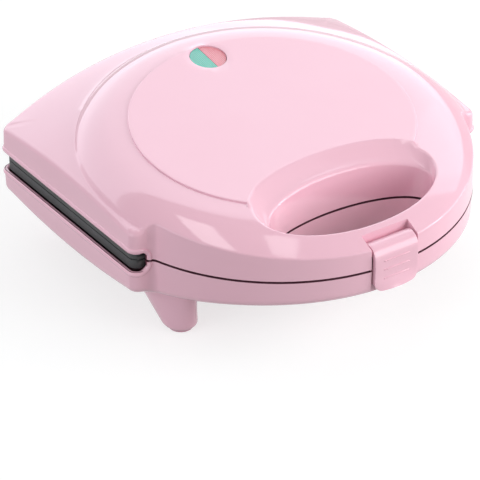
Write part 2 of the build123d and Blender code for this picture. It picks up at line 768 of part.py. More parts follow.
def strap_screws(up):
    """Screw places of every strap on the back of one plate."""
    spots = []
    for x, y in clamp_places():
        spots += strap_holes(x, y, ELEMENT_R + SEAT)
    return spots + strap_holes(up * SENSOR_X[up], 0, SENSOR_HALF[up])


def cover(up, front):
    """Flat cover of the handle or of the space behind the plate."""
    spots = cover_spots(front)
    well = latch_well(up, SLOT_WALL + COVER_FREE)
    collar = grip_hole(WALL + COVER_FREE)
    holes = countersunk(
        layer(RIM_GAP, up), spots, SMALL_HEAD_R, SMALL_HEAD_H, SMALL_R, COVER_SCREW_L, HOLE_FREE
    )
    with BuildPart() as sheet:
        add(outline(layer(RIM_GAP, up), WALL + COVER_FREE))
        extrude(amount=COVER_T, dir=(0, 0, up))
        if front:
            with BuildSketch(layer(0, up)):
                with Locations((0, PLATE_MID - PLATE_D / 2 - COVER_FREE + NOSE_R)):
                    Rectangle(2 * WIDTH, 2 * NOSE_R)
            extrude(amount=CROWN_Z, mode=Mode.SUBTRACT)
            add(well, mode=Mode.SUBTRACT)
            add(collar, mode=Mode.SUBTRACT)
        else:
            with BuildSketch(layer(0, up)):
                with Locations((0, PLATE_MID + PLATE_D / 2 + COVER_FREE + BACK_Y / 2)):
                    Rectangle(2 * TAIL_COVER_X, BACK_Y)
            extrude(amount=CROWN_Z, mode=Mode.INTERSECT)
        add(holes, mode=Mode.SUBTRACT)
    return sheet.part


def latch():
    """Latch: a barrel on the pin, a flat face with ribs, an inner nose and a bulging lip."""
    inner = LATCH_FACE + LATCH_T
    lip = LATCH_FACE - LIP_OUT
    top = LATCH_Z + LATCH_R
    half = LATCH_X / 2
    with BuildPart() as clip:
        with BuildSketch(profile(-half)):
            with BuildLine():
                TangentArc(
                    (LATCH_Y, top), (LATCH_FACE, top - LATCH_Y + LATCH_FACE), tangent=(-1, 0)
                )
                Polyline(
                    (LATCH_FACE, top - LATCH_Y + LATCH_FACE),
                    (LATCH_FACE, LIP_Z),
                    (inner, LIP_Z),
                    (inner, LATCH_Z - LATCH_R),
                    (LATCH_Y, LATCH_Z - LATCH_R),
                    (LATCH_Y, top),
                )
            make_face()
            with Locations((LATCH_Y, LATCH_Z)):
                Circle(LATCH_R)
                Circle(LATCH_PIN_R + PIN_FREE, mode=Mode.SUBTRACT)
        extrude(amount=LATCH_X)
        with BuildSketch(layer(-LIP_Z, -1)):
            with Locations((0, (LATCH_FACE + inner) / 2)):
                Rectangle(LATCH_X, LATCH_T)
        with BuildSketch(layer(-LATCH_BOTTOM, -1)):
            with BuildLine():
                ThreePointArc((-half, lip + LIP_BULGE), (0, lip), (half, lip + LIP_BULGE))
                Polyline(
                    (half, lip + LIP_BULGE),
                    (half, lip + LIP_BULGE + LIP_T),
                    (-half, lip + LIP_BULGE + LIP_T),
                    (-half, lip + LIP_BULGE),
                )
            make_face()
        loft()
        with BuildSketch(profile(-half)):
            with BuildLine():
                Polyline(
                    (inner, HOOK_Z),
                    (inner + HOOK_OUT, HOOK_Z),
                    (inner, HOOK_Z + HOOK_H),
                    (inner - HOOK_OUT, HOOK_Z + HOOK_H),
                    (inner - HOOK_OUT, HOOK_Z),
                    close=True,
                )
            make_face()
        extrude(amount=LATCH_X)
        with BuildSketch(Plane.XZ.offset(-PLATE_Y)) as front:
            with Locations((0, PART_Z + LATCH_BOTTOM + WIDTH / 2)):
                Rectangle(LATCH_X, WIDTH)
            fillet(front.vertices().group_by(Axis.Z)[0], LATCH_CORNER)
        extrude(amount=2 * NOSE_R, both=True, mode=Mode.INTERSECT)
        for z in GRIP_RIB_Z:
            with Locations((0, PLATE_Y + LATCH_FACE, PART_Z + z)):
                Box(GRIP_RIB_X, 2 * GRIP_RIB_OUT, GRIP_RIB_H)
    return clip.part


def lens(side):
    """Half-round lens with a flange behind the top disc."""
    with BuildPart() as half:
        with BuildSketch(lamp_plane(LAMP_SINK)):
            Circle(LAMP_R)
        extrude(amount=-(LENS_BACK + LENS_FLANGE_T - LAMP_SINK))
        with BuildSketch(lamp_plane(LENS_BACK)):
            Circle(LAMP_R + LENS_FLANGE)
        extrude(amount=-LENS_FLANGE_T)
        with BuildSketch(lamp_plane(-WALL)):
            with Locations((-side * LAMP_R, 0)):
                Rectangle(2 * LAMP_R + LAMP_SPLIT, 4 * LAMP_R)
        extrude(amount=-4 * WALL, mode=Mode.SUBTRACT)
    return half.part


def lamp_holder():
    """Cup behind the lenses, with a wall between the two lamps."""
    top = LENS_BACK + LENS_FLANGE_T
    with BuildPart() as cup:
        with BuildSketch(lamp_plane(top)):
            Circle(LAMP_R + LENS_FLANGE)
        extrude(amount=-HOLDER_H)
        with BuildSketch(lamp_plane(top)):
            Circle(LAMP_R + LENS_FLANGE - HOLDER_T)
            Rectangle(HOLDER_T, 2 * (LAMP_R + LENS_FLANGE), mode=Mode.SUBTRACT)
        extrude(amount=-(HOLDER_H - HOLDER_T), mode=Mode.SUBTRACT)
    return cup.part


def neon_lamps():
    """Two glass lamps on the floor of the holder."""
    depth = LENS_BACK + LENS_FLANGE_T + HOLDER_H - HOLDER_T - SEAT - NEON_R
    frame = lamp_plane(depth)
    with BuildPart() as pair:
        for x in (-NEON_X, NEON_X):
            start = frame.from_local_coords((x, -NEON_L / 2, 0))
            with BuildSketch(Plane(start, x_dir=(1, 0, 0), z_dir=frame.y_dir)):
                Circle(NEON_R)
            extrude(amount=NEON_L)
    return pair.part


def gland():
    """Flanged bush in the rear wall that the cord passes through."""
    inner = BACK_Y - 3 * WALL
    with BuildPart() as bush:
        with BuildSketch(gland_plane(inner)):
            Circle(GLAND_R)
        extrude(amount=GLAND_SEAT - inner)
        with BuildSketch(gland_plane(GLAND_SEAT)):
            Circle(GLAND_FLANGE)
        extrude(amount=GLAND_FLANGE_T)
        with BuildSketch(gland_plane(inner)):
            Circle(GLAND_BORE)
        extrude(amount=2 * GLAND_SEAT, mode=Mode.SUBTRACT)
        fillet(bush.edges().filter_by(GeomType.CIRCLE).sort_by(Axis.Y)[-2:], 0.8)
    return bush.part


def terminal_block():
    """Moulded block with a screw well and a wire entry for each conductor."""
    x, y = BLOCK_AT
    pitch = BLOCK_X / BLOCK_WAYS
    with BuildPart() as block:
        with BuildSketch(layer(BELLY - WALL - SEAT, -1)):
            with Locations((-x, y)):
                Rectangle(BLOCK_X, BLOCK_D)
        extrude(amount=-BLOCK_H)
        for i in range(BLOCK_WAYS):
            at = x + (i - (BLOCK_WAYS - 1) / 2) * pitch
            with BuildSketch(layer(BELLY - WALL - SEAT - BLOCK_H, -1)):
                with Locations((-at, y)):
                    Circle(BLOCK_SCREW_R)
            extrude(amount=BLOCK_H / 2, mode=Mode.SUBTRACT)
    return block.part


def foot_pads():
    """Rubber pad under each leg."""
    with BuildPart() as pads:
        with BuildSketch(Plane.XY):
            with Locations(*[(x, PLATE_Y + y) for x, y in LEGS]):
                Circle(PAD_R)
        extrude(amount=PAD_T)
    return pads.part


def sensor(up):
    """Thermostat of the upper plate, or thermal fuse of the lower one."""
    with BuildPart() as device:
        if up > 0:
            with BuildSketch(layer(TUB_Z + SEAT, up)):
                with Locations((STAT_X, 0)):
                    Circle(STAT_R)
            extrude(amount=STAT_H)
        else:
            with BuildSketch(profile(FUSE_X - FUSE_L / 2)):
                with Locations((0, -TUB_Z - SEAT - FUSE_R)):
                    Circle(FUSE_R)
            extrude(amount=FUSE_L)
    return device.part


def keep(name, piece):
    """Label one finished piece and write it."""
    piece.label = name
    export_step(piece, "parts/" + name + ".step")
    print(name, len(piece.solids()), round(piece.volume))


os.makedirs("parts", exist_ok=True)
post_spots = [(0, POST_Y), (0, -POST_Y)]
cover_screw_spots = cover_spots(True) + cover_spots(False)
rise = 2 * (ELEMENT_R + SEAT)
for half, up in HALVES.items():
    keep(half + "_casing", casing(up))
    keep(half + "_cooking_plate", cooking_plate(up))
    keep(half + "_heat_shield", heat_shield(up))
    keep(half + "_heating_element", element(up))
    clamps = [strap(up, x, y, ELEMENT_R + SEAT, rise, CLAMP_W) for x, y in clamp_places()]
    keep(half + "_element_clamps", Compound(children=clamps))
    strap_screw_l = CLAMP_T + STRAP_SCREW_L - HOLE_FREE
    keep(half + "_strap_screws", pan_head(layer(TUB_Z + CLAMP_T, up), strap_screws(up), strap_screw_l))
    keep(half + "_shield_screws", pan_head(layer(SLEEVE, up), STUDS, SMALL_L))
    plate_screw_l = SLEEVE + SCREW_GRIP - PLATE_GAP
    screws = countersunk(layer(PLATE_GAP, up), post_spots, HEAD_R, HEAD_H, SHANK_R, plate_screw_l)
    keep(half + "_plate_screws", screws)
    keep(half + "_handle_cover", cover(up, True))
    keep(half + "_rear_cover", cover(up, False))
    screws = countersunk(
        layer(RIM_GAP, up), cover_screw_spots, SMALL_HEAD_R, SMALL_HEAD_H, SMALL_R, COVER_SCREW_L
    )
    keep(half + "_cover_screws", screws)

keep("thermostat", sensor(1))
keep("thermostat_clip", strap(1, STAT_X, 0, SENSOR_HALF[1], STAT_H + 2 * SEAT, SENSOR_W[1]))
keep("thermal_fuse", sensor(-1))
keep("fuse_clip", strap(-1, FUSE_X, 0, SENSOR_HALF[-1], 2 * (FUSE_R + SEAT), SENSOR_W[-1]))
keep("terminal_block", terminal_block())
keep("cord_gland", gland())
keep("foot_pads", foot_pads())
keep("green_lens", lens(-1))
keep("red_lens", lens(1))
keep("lamp_holder", lamp_holder())
keep("indicator_lamps", neon_lamps())
keep("latch", latch())

with BuildPart() as latch_pin:
    with BuildSketch(profile(-SLOT_X / 2 - SLOT_WALL)):
        with Locations((LATCH_Y, LATCH_Z)):
            Circle(LATCH_PIN_R)
    extrude(amount=SLOT_X + 2 * SLOT_WALL)
keep("latch_pin", latch_pin.part)

pin_reach = KNUCKLE_W / 2 + HINGE_FREE + EAR_W + PIN_HEAD
pins = [hinge_rod(PIN_R, x - pin_reach, 2 * pin_reach) for x in (-HINGE_X, HINGE_X)]
keep("hinge_pins", Compound(children=pins))
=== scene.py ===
"""Looks of a pink sandwich maker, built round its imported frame.

Sizes inside the classes are in millimetres, measured from the middle of the cooking plates and
the parting plane. The function placed turns them into the frame's metres.
"""

import enum
import json
import logging
import math
from dataclasses import dataclass, field
from typing import Callable, ClassVar, NamedTuple

import bmesh
import bpy
import numpy as np
from mathutils import Matrix, Vector

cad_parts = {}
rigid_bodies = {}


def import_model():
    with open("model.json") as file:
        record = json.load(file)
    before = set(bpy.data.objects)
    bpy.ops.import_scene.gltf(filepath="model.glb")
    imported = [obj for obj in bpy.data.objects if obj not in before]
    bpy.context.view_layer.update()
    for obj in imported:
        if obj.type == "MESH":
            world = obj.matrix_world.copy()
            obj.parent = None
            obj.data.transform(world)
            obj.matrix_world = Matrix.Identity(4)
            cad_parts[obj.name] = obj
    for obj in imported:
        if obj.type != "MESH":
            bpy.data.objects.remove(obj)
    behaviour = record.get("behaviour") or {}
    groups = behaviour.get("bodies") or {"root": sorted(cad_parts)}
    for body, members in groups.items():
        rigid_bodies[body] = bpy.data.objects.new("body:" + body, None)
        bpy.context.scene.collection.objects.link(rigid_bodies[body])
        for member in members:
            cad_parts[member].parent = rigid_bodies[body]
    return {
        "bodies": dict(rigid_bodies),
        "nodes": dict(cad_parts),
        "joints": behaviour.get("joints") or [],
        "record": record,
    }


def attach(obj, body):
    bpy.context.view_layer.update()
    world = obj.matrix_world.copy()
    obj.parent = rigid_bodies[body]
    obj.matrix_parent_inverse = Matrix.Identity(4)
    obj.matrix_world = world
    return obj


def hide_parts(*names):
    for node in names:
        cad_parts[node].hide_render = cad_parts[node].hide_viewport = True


LOG = logging.getLogger("sandwich_maker")
MM = 0.001
ORIGIN = (0.0, 26.55, 50.0)
PART_GAP = 0.7
WALL = 2.5
DRAFT_ANGLE = math.radians(2.0)
DRAFT = math.tan(DRAFT_ANGLE)
MIDDLE_Y = -32.3
NEAR = 0.01
Array = np.ndarray
Pair, Triple = tuple[float, float], tuple[float, float, float]
Material, Mesh, Object = bpy.types.Material, bpy.types.Mesh, bpy.types.Object
Node, Socket, Vert = bpy.types.Node, bpy.types.NodeSocket, bmesh.types.BMVert
BMesh = bmesh.types.BMesh
Test = Callable[[Vector], bool]


class Half(enum.Enum):
    """The two halves of the shell, with the way each one faces from the parting plane."""

    LID = 1
    BASE = -1


class Body(enum.Enum):
    """CAD bodies that the pieces ride on."""

    BASE = "base"
    LID = "lid"
    LATCH = "latch"


class Slot(enum.Enum):
    """Material slots of the record that the new pieces take their finish from."""

    CASING = "casing"


def placed(x: float, y: float, z: float) -> Vector:
    """A point of the object, in the frame's metres."""
    return Vector((x + ORIGIN[0], y + ORIGIN[1], z + ORIGIN[2])) * MM


def smooth_max(a: Array, b: Array, soft: float) -> Array:
    """The larger of two heights, blended where they are close.

    Args:
        a: First heights.
        b: Second heights.
        soft: Difference over which the two are blended.

    Returns:
        The blended heights.
    """
    share = np.clip(0.5 + 0.5 * (a - b) / soft, 0, 1)
    return b + (a - b) * share + soft * share * (1 - share)


def halve(below: Callable[[Array], Array], low: Array, high: Array, steps: int) -> Array:
    """Finds by halving the values at which a test turns false.

    Args:
        below: Whether a value lies under the one that is sought.
        low: Lower limits.
        high: Upper limits.
        steps: Number of halvings.

    Returns:
        The values.
    """
    for _ in range(steps):
        middle = (low + high) / 2
        under = below(middle)
        low, high = np.where(under, middle, low), np.where(under, high, middle)
    return (low + high) / 2


def blurred(values: Array, reach: int) -> Array:
    """Blends each value along a closed ring with its neighbours.

    Args:
        values: The values, in order round the ring.
        reach: How many neighbours count on each side.

    Returns:
        The blended values.
    """
    weight = np.hanning(2 * reach + 3)[1:-1]
    padded = np.concatenate((values[-reach:], values, values[:reach]))
    return np.convolve(padded, weight / weight.sum(), "valid")


def round_corner(start: Array, corner: Array, end: Array, shares: Array) -> list[Array]:
    """Rings at shares of the way from one ring to another, bent towards a corner ring."""
    return [(1 - t) ** 2 * start + 2 * t * (1 - t) * corner + t**2 * end for t in shares]


def turns(count: int) -> list[float]:
    """Angles of so many even steps round a circle."""
    return [2 * math.pi * i / count for i in range(count)]


def bridge(bm: BMesh, rows: list[list], closed: bool = True) -> list[list[Vert]]:
    """Joins rows by faces, each row to the next.

    Args:
        bm: Mesh that takes the faces.
        rows: Equally long rows, of corners of the mesh or of points that become corners.
        closed: Whether each row runs round to its start.

    Returns:
        The rows of corners.
    """
    rows = [[v if isinstance(v, Vert) else bm.verts.new(v) for v in row] for row in rows]
    for lower, upper in zip(rows, rows[1:]):
        for i in range(len(lower) if closed else len(lower) - 1):
            j = (i + 1) % len(lower)
            bm.faces.new((lower[i], lower[j], upper[j], upper[i]))
    return rows


def to_mesh(bm: BMesh, name: str) -> Mesh:
    """Turns a mesh under construction into a finished one.

    Args:
        bm: The mesh under construction, which is freed.
        name: Name of the finished one.

    Returns:
        The finished mesh.
    """
    mesh = bpy.data.meshes.new(name)
    bm.to_mesh(mesh)
    bm.free()
    return mesh


def shade(mesh: Mesh, crease: float) -> None:
    """Shades a mesh smooth, but for edges sharper than an angle in degrees."""
    mesh.shade_smooth()
    mesh.set_sharp_from_angle(angle=math.radians(crease))


def in_scene(name: str, data: bpy.types.ID) -> Object:
    """Makes an object of its data and puts it into the scene.

    Args:
        name: Its name.
        data: Its mesh, lamp or camera.

    Returns:
        The object.
    """
    made = bpy.data.objects.new(name, data)
    bpy.context.scene.collection.objects.link(made)
    return made


def finish_piece(name: str, mesh: Mesh, material: Material, crease: float = 30.0) -> Object:
    """An object in the scene for a finished mesh.

    Args:
        name: Name of the piece.
        mesh: Its mesh, in the frame's metres.
        material: Its material.
        crease: Edges sharper than this many degrees stay sharp.

    Returns:
        The object.
    """
    mesh.materials.clear()
    mesh.materials.append(material)
    shade(mesh, crease)
    return in_scene(name, mesh)


def baked(piece: Object, crease: float = 30.0) -> Object:
    """Turns an object with modifiers into a plain mesh.

    Args:
        piece: The object.
        crease: Edges sharper than this many degrees stay sharp.

    Returns:
        The same object with its evaluated mesh and no modifiers.
    """
    graph = bpy.context.evaluated_depsgraph_get()
    mesh = bpy.data.meshes.new_from_object(piece.evaluated_get(graph))
    piece.modifiers.clear()
    piece.data = mesh
    shade(mesh, crease)
    return piece


@dataclass
class Plan:
    """Plan of both casings: straight sides, a bowed rear wall and a round nose."""

    half_width: float = 117.5
    side_front: float = 69.0
    back: float = 86.0
    back_r: float = 399.94
    nose_y: float = 36.3
    nose_r: float = 110.1
    wing_r: float = 6.0
    tail_r: float = 5.6
    neck_r: float = 5.0
    points: Array = field(init=False)
    normals: Array = field(init=False)

    def __post_init__(self) -> None:
        """Samples the outline once, from the front round to the right."""
        right, turned = self.right_half()
        left = right[-2:0:-1] * (-1, 1)
        left_turned = turned[-2:0:-1] * (-1, 1)
        self.points = np.concatenate((right, left))
        self.normals = np.concatenate((turned, left_turned))

    @staticmethod
    def arc(
        centre: Pair, radius: float, start: float, end: float, steps: int, out: int
    ) -> tuple[Array, Array]:
        """Points and outward normals along an arc.

        Args:
            centre: Centre of the arc.
            radius: Its radius.
            start: First angle, in radians.
            end: Last angle, in radians.
            steps: Number of chords.
            out: 1 where the outside lies away from the centre, else -1.

        Returns:
            The points and the normals.
        """
        angle = np.linspace(start, end, steps + 1)
        ray = np.stack((np.cos(angle), np.sin(angle)), 1)
        return np.array(centre) + ray * radius, ray * out

    def right_half(self) -> tuple[Array, Array]:
        """Samples the right half of the outline.

        Returns:
            Points and outward normals, from the front of the nose to the rear.
        """
        neck_y = -self.side_front - self.neck_r
        reach = self.nose_r + self.neck_r
        neck_x = math.sqrt(reach**2 - (neck_y + self.nose_y) ** 2)
        touch = math.atan2(neck_y + self.nose_y, neck_x)
        wing = (self.half_width - self.wing_r, self.wing_r - self.side_front)
        back_c = self.back - self.back_r
        tail_x = self.half_width - self.tail_r
        tail_y = back_c + math.sqrt((self.back_r - self.tail_r) ** 2 - tail_x**2)
        tail_turn = math.atan2(tail_y - back_c, tail_x)
        long, short = 60, 8
        side = np.linspace(wing[1], tail_y, long)
        sides = np.stack((np.full(long, self.half_width), side), 1)
        front = np.linspace(neck_x, wing[0], short)
        fronts = np.stack((front, np.full(short, -self.side_front)), 1)
        runs = [
            self.arc((0, -self.nose_y), self.nose_r, -math.pi / 2, touch, 84, 1),
            self.arc((neck_x, neck_y), self.neck_r, touch + math.pi, math.pi / 2, 14, -1),
            (fronts, np.tile((0.0, -1.0), (short, 1))),
            self.arc(wing, self.wing_r, -math.pi / 2, 0, 12, 1),
            (sides, np.tile((1.0, 0.0), (long, 1))),
            self.arc((tail_x, tail_y), self.tail_r, 0, tail_turn, 11, 1),
            self.arc((0, back_c), self.back_r, tail_turn, math.pi / 2, 42, 1),
        ]
        points, normals = [runs[0][0]], [runs[0][1]]
        for run, turned in runs[1:]:
            points.append(run[1:])
            normals.append(turned[1:])
        return np.concatenate(points), np.concatenate(normals)

    def along(self) -> tuple[Array, Array, Array]:
        """Measures the right half of the outline.

        Returns:
            Its running length, points and normals.
        """
        points, normals = self.right_half()
        steps = np.linalg.norm(np.diff(points, axis=0), axis=1)
        return np.concatenate(([0.0], np.cumsum(steps))), points, normals


class Oval(NamedTuple):
    """Oval in plan: half its width, half its depth and the place of its middle along y."""

    a: float
    b: float
    middle: float

    def spread(self, x: Array, y: Array) -> Array:
        """Square of how far out points lie, 1 on the oval."""
        return (x / self.a) ** 2 + ((y - self.middle) / self.b) ** 2

    def angle(self, x: Array, y: Array) -> Array:
        """Angles of points round the oval."""
        return np.arctan2((y - self.middle) / self.b, x / self.a)

    def points(self, angle: Array) -> Array:
        """Points of the oval at angles round it."""
        return np.stack((self.a * np.cos(angle), self.middle + self.b * np.sin(angle)), -1)

    def inside(self, point: Vector) -> float:
        """A measure that is negative for a point inside the oval."""
        return self.spread(point.x, point.y) - 1

    def towards(self, other: "Oval", run: Array) -> "Oval":
        """Oval at a share of the way to another one."""
        return Oval(*(start + (end - start) * run for start, end in zip(self, other, strict=True)))


class Crown(NamedTuple):
    """Face crowned both ways: height and place of its top, and its two radii."""

    top: float
    middle: float
    across: float
    along: float

    def drop(self, x: Array) -> Array:
        """How far the ridge has dropped at a distance from the middle."""
        return self.across - np.sqrt(np.maximum(self.across**2 - x**2, 1))

    def height(self, x: Array, y: Array) -> Array:
        """Height of the face."""
        left = (self.along - self.drop(x)) ** 2 - (y - self.middle) ** 2
        return self.top - self.along + np.sqrt(np.maximum(left, 1))


@dataclass
class LidForm:
    """Outer form of the lid: a crowned shoulder and a domed side under a raised disc."""

    crown: Crown = Crown(42.0, 8.0, 384.98, 470.0)
    dome: Oval = Oval(113.3, 109.0, -37.0)
    disc: Oval = Oval(82.8, 75.6, MIDDLE_Y)
    dome_z: float = 28.5
    dome_tilt: float = 0.113
    disc_z: float = 41.0
    disc_tilt: float = 0.146
    step: float = 1.0
    handle_y: float = -70.0
    root_slope: float = 2.2
    blend: float = 1.3
    edge_r: float = 3.2
    nose_edge_r: float = 1.5

    def rise(self, run: Array) -> Array:
        """Smooth curve through the measured heights of the dome's side.

        Args:
            run: Shares of the way up its plan, from its foot to the disc.

        Returns:
            The shares of its height that are reached there.
        """
        knots = np.array((0.0, 0.12, 0.30, 0.55, 1.0))
        heights = np.array((0.0, 0.27, 0.55, 0.80, 1.0))
        slopes = np.array((2.6, 1.95, 1.25, 0.72, 0.28))
        run = np.clip(run, 0, 1)
        i = np.clip(np.searchsorted(knots, run, side="right") - 1, 0, 3)
        gap = knots[i + 1] - knots[i]
        t = (run - knots[i]) / gap
        bend = (2 * t**3 - 3 * t**2 + 1) * heights[i] + (3 * t**2 - 2 * t**3) * heights[i + 1]
        lean = (t**3 - 2 * t**2 + t) * slopes[i] + (t**3 - t**2) * slopes[i + 1]
        return bend + lean * gap

    def spread(self, x: Array, y: Array, run: Array) -> Array:
        """How far out points lie at a share of the way up, 1 on the oval of that share."""
        return np.sqrt(self.dome.towards(self.disc, run).spread(x, y))

    def crown_height(self, x: Array, y: Array) -> Array:
        """Height of the crowned shoulder, which ends at the dome's foot over the handle."""
        height, foot = self.crown.height(x, y), self.dome_z + self.dome_tilt * y
        return np.where(y < self.handle_y, np.minimum(height, foot), height)

    def dome_height(self, x: Array, y: Array) -> Array:
        """Height of the dome's side, without the step of the disc.

        Args:
            x: Places across.
            y: Places along.

        Returns:
            The heights, which fall away steeply outside the dome's foot.
        """
        run = halve(lambda t: self.spread(x, y, t) <= 1, np.zeros_like(x), np.ones_like(x), 26)
        share = self.rise(run)
        foot = self.dome_z + (self.disc_z - self.step - self.dome_z) * share
        tilt = self.dome_tilt + (self.disc_tilt - self.dome_tilt) * share
        beyond = np.maximum(self.spread(x, y, np.zeros_like(x)) - 1, 0) * self.dome.b
        return foot + tilt * y - beyond * self.root_slope

    def height(self, x: Array, y: Array) -> Array:
        """Height of the shoulder and the dome's side together."""
        return smooth_max(self.crown_height(x, y), self.dome_height(x, y), self.blend)

    def edge(self, x: Array, y: Array, nose: Array) -> Array:
        """Height that the rounded edge meets: the shoulder, or the dome's side on the nose."""
        return np.where(nose, self.height(x, y), self.crown_height(x, y))

    def top(self, x: Array, y: Array) -> Array:
        """Height of the whole upper face."""
        on_disc = self.spread(x, y, np.ones_like(x)) < 1
        return np.where(on_disc, self.disc_z + self.disc_tilt * y, self.height(x, y))


@dataclass
class BaseForm:
    """Outer form of the base, as a depth below the parting plane."""

    crown: Crown = Crown(42.0, 0.0, 384.98, 470.0)
    belly: float = 38.0
    nose_keel: float = 14.5
    nose_rise: float = 0.3
    nose_front: float = -146.4
    blend: float = 2.5
    edge_r: float = 5.0
    nose_edge_r: float = 5.0

    def height(self, x: Array, y: Array) -> Array:
        """Depth of the crowned underside, cut off flat and by the ramp under the nose.

        Args:
            x: Places across.
            y: Places along.

        Returns:
            The depths.
        """
        crown = self.crown.height(x, y)
        ramp = self.nose_keel - self.crown.drop(x) + self.nose_rise * (y - self.nose_front)
        flat = -smooth_max(-crown, np.full_like(crown, -self.belly), self.blend)
        return -smooth_max(-flat, -ramp, self.blend)

    def edge(self, x: Array, y: Array, nose: Array) -> Array:
        """Depth that the rounded edge meets, the same on the nose as elsewhere."""
        return self.height(x, y)


@dataclass
class Opening:
    """Finger opening: an upright oval well with a wider, sloped rim on the lid."""

    well: Oval = Oval(52.5, 21.5, -106.5)
    rim: Oval = Oval(58.0, 31.0, -100.0)
    outer: Oval = Oval(61.2, 34.0, -100.4)
    well_z: float = 47.0
    well_tilt: float = 0.273
    rim_z: float = 45.8
    rim_tilt: float = 0.212
    lip: float = 1.1
    band: float = 1.43
    dish: float = 0.5
    foot_run: float = 0.12
    foot_drop: float = 1.2
    base_lip: float = 1.0
    rear: float = -50.0
    run_limits: Pair = (0.4, 1.6)

    def slope(self, angle: Array, run: Array) -> Array:
        """Points on the sloped rim.

        Args:
            angle: Their angles round the opening.
            run: Their shares of the way out, from 0 at the well to 1 at the rim's edge.

        Returns:
            The points.
        """
        flat = self.well.towards(self.rim, run).points(angle)
        z = self.well_z + (self.rim_z - self.well_z) * run
        tilt = self.well_tilt + (self.rim_tilt - self.well_tilt) * run
        return Skin.ring(flat, z + tilt * flat[:, 1])

    def edge_run(self, angle: Array, form: LidForm) -> Array:
        """Finds where the slope meets the upper face of the lid.

        Args:
            angle: Angles round the opening.
            form: Outer form of the lid.

        Returns:
            The shares of the way out.
        """

        def below(run: Array) -> Array:
            """Whether the slope lies under the upper face."""
            x, y, z = self.slope(angle, run).T
            return z < form.top(x, y)

        low, high = (np.full_like(angle, limit) for limit in self.run_limits)
        return halve(below, low, high, 30)


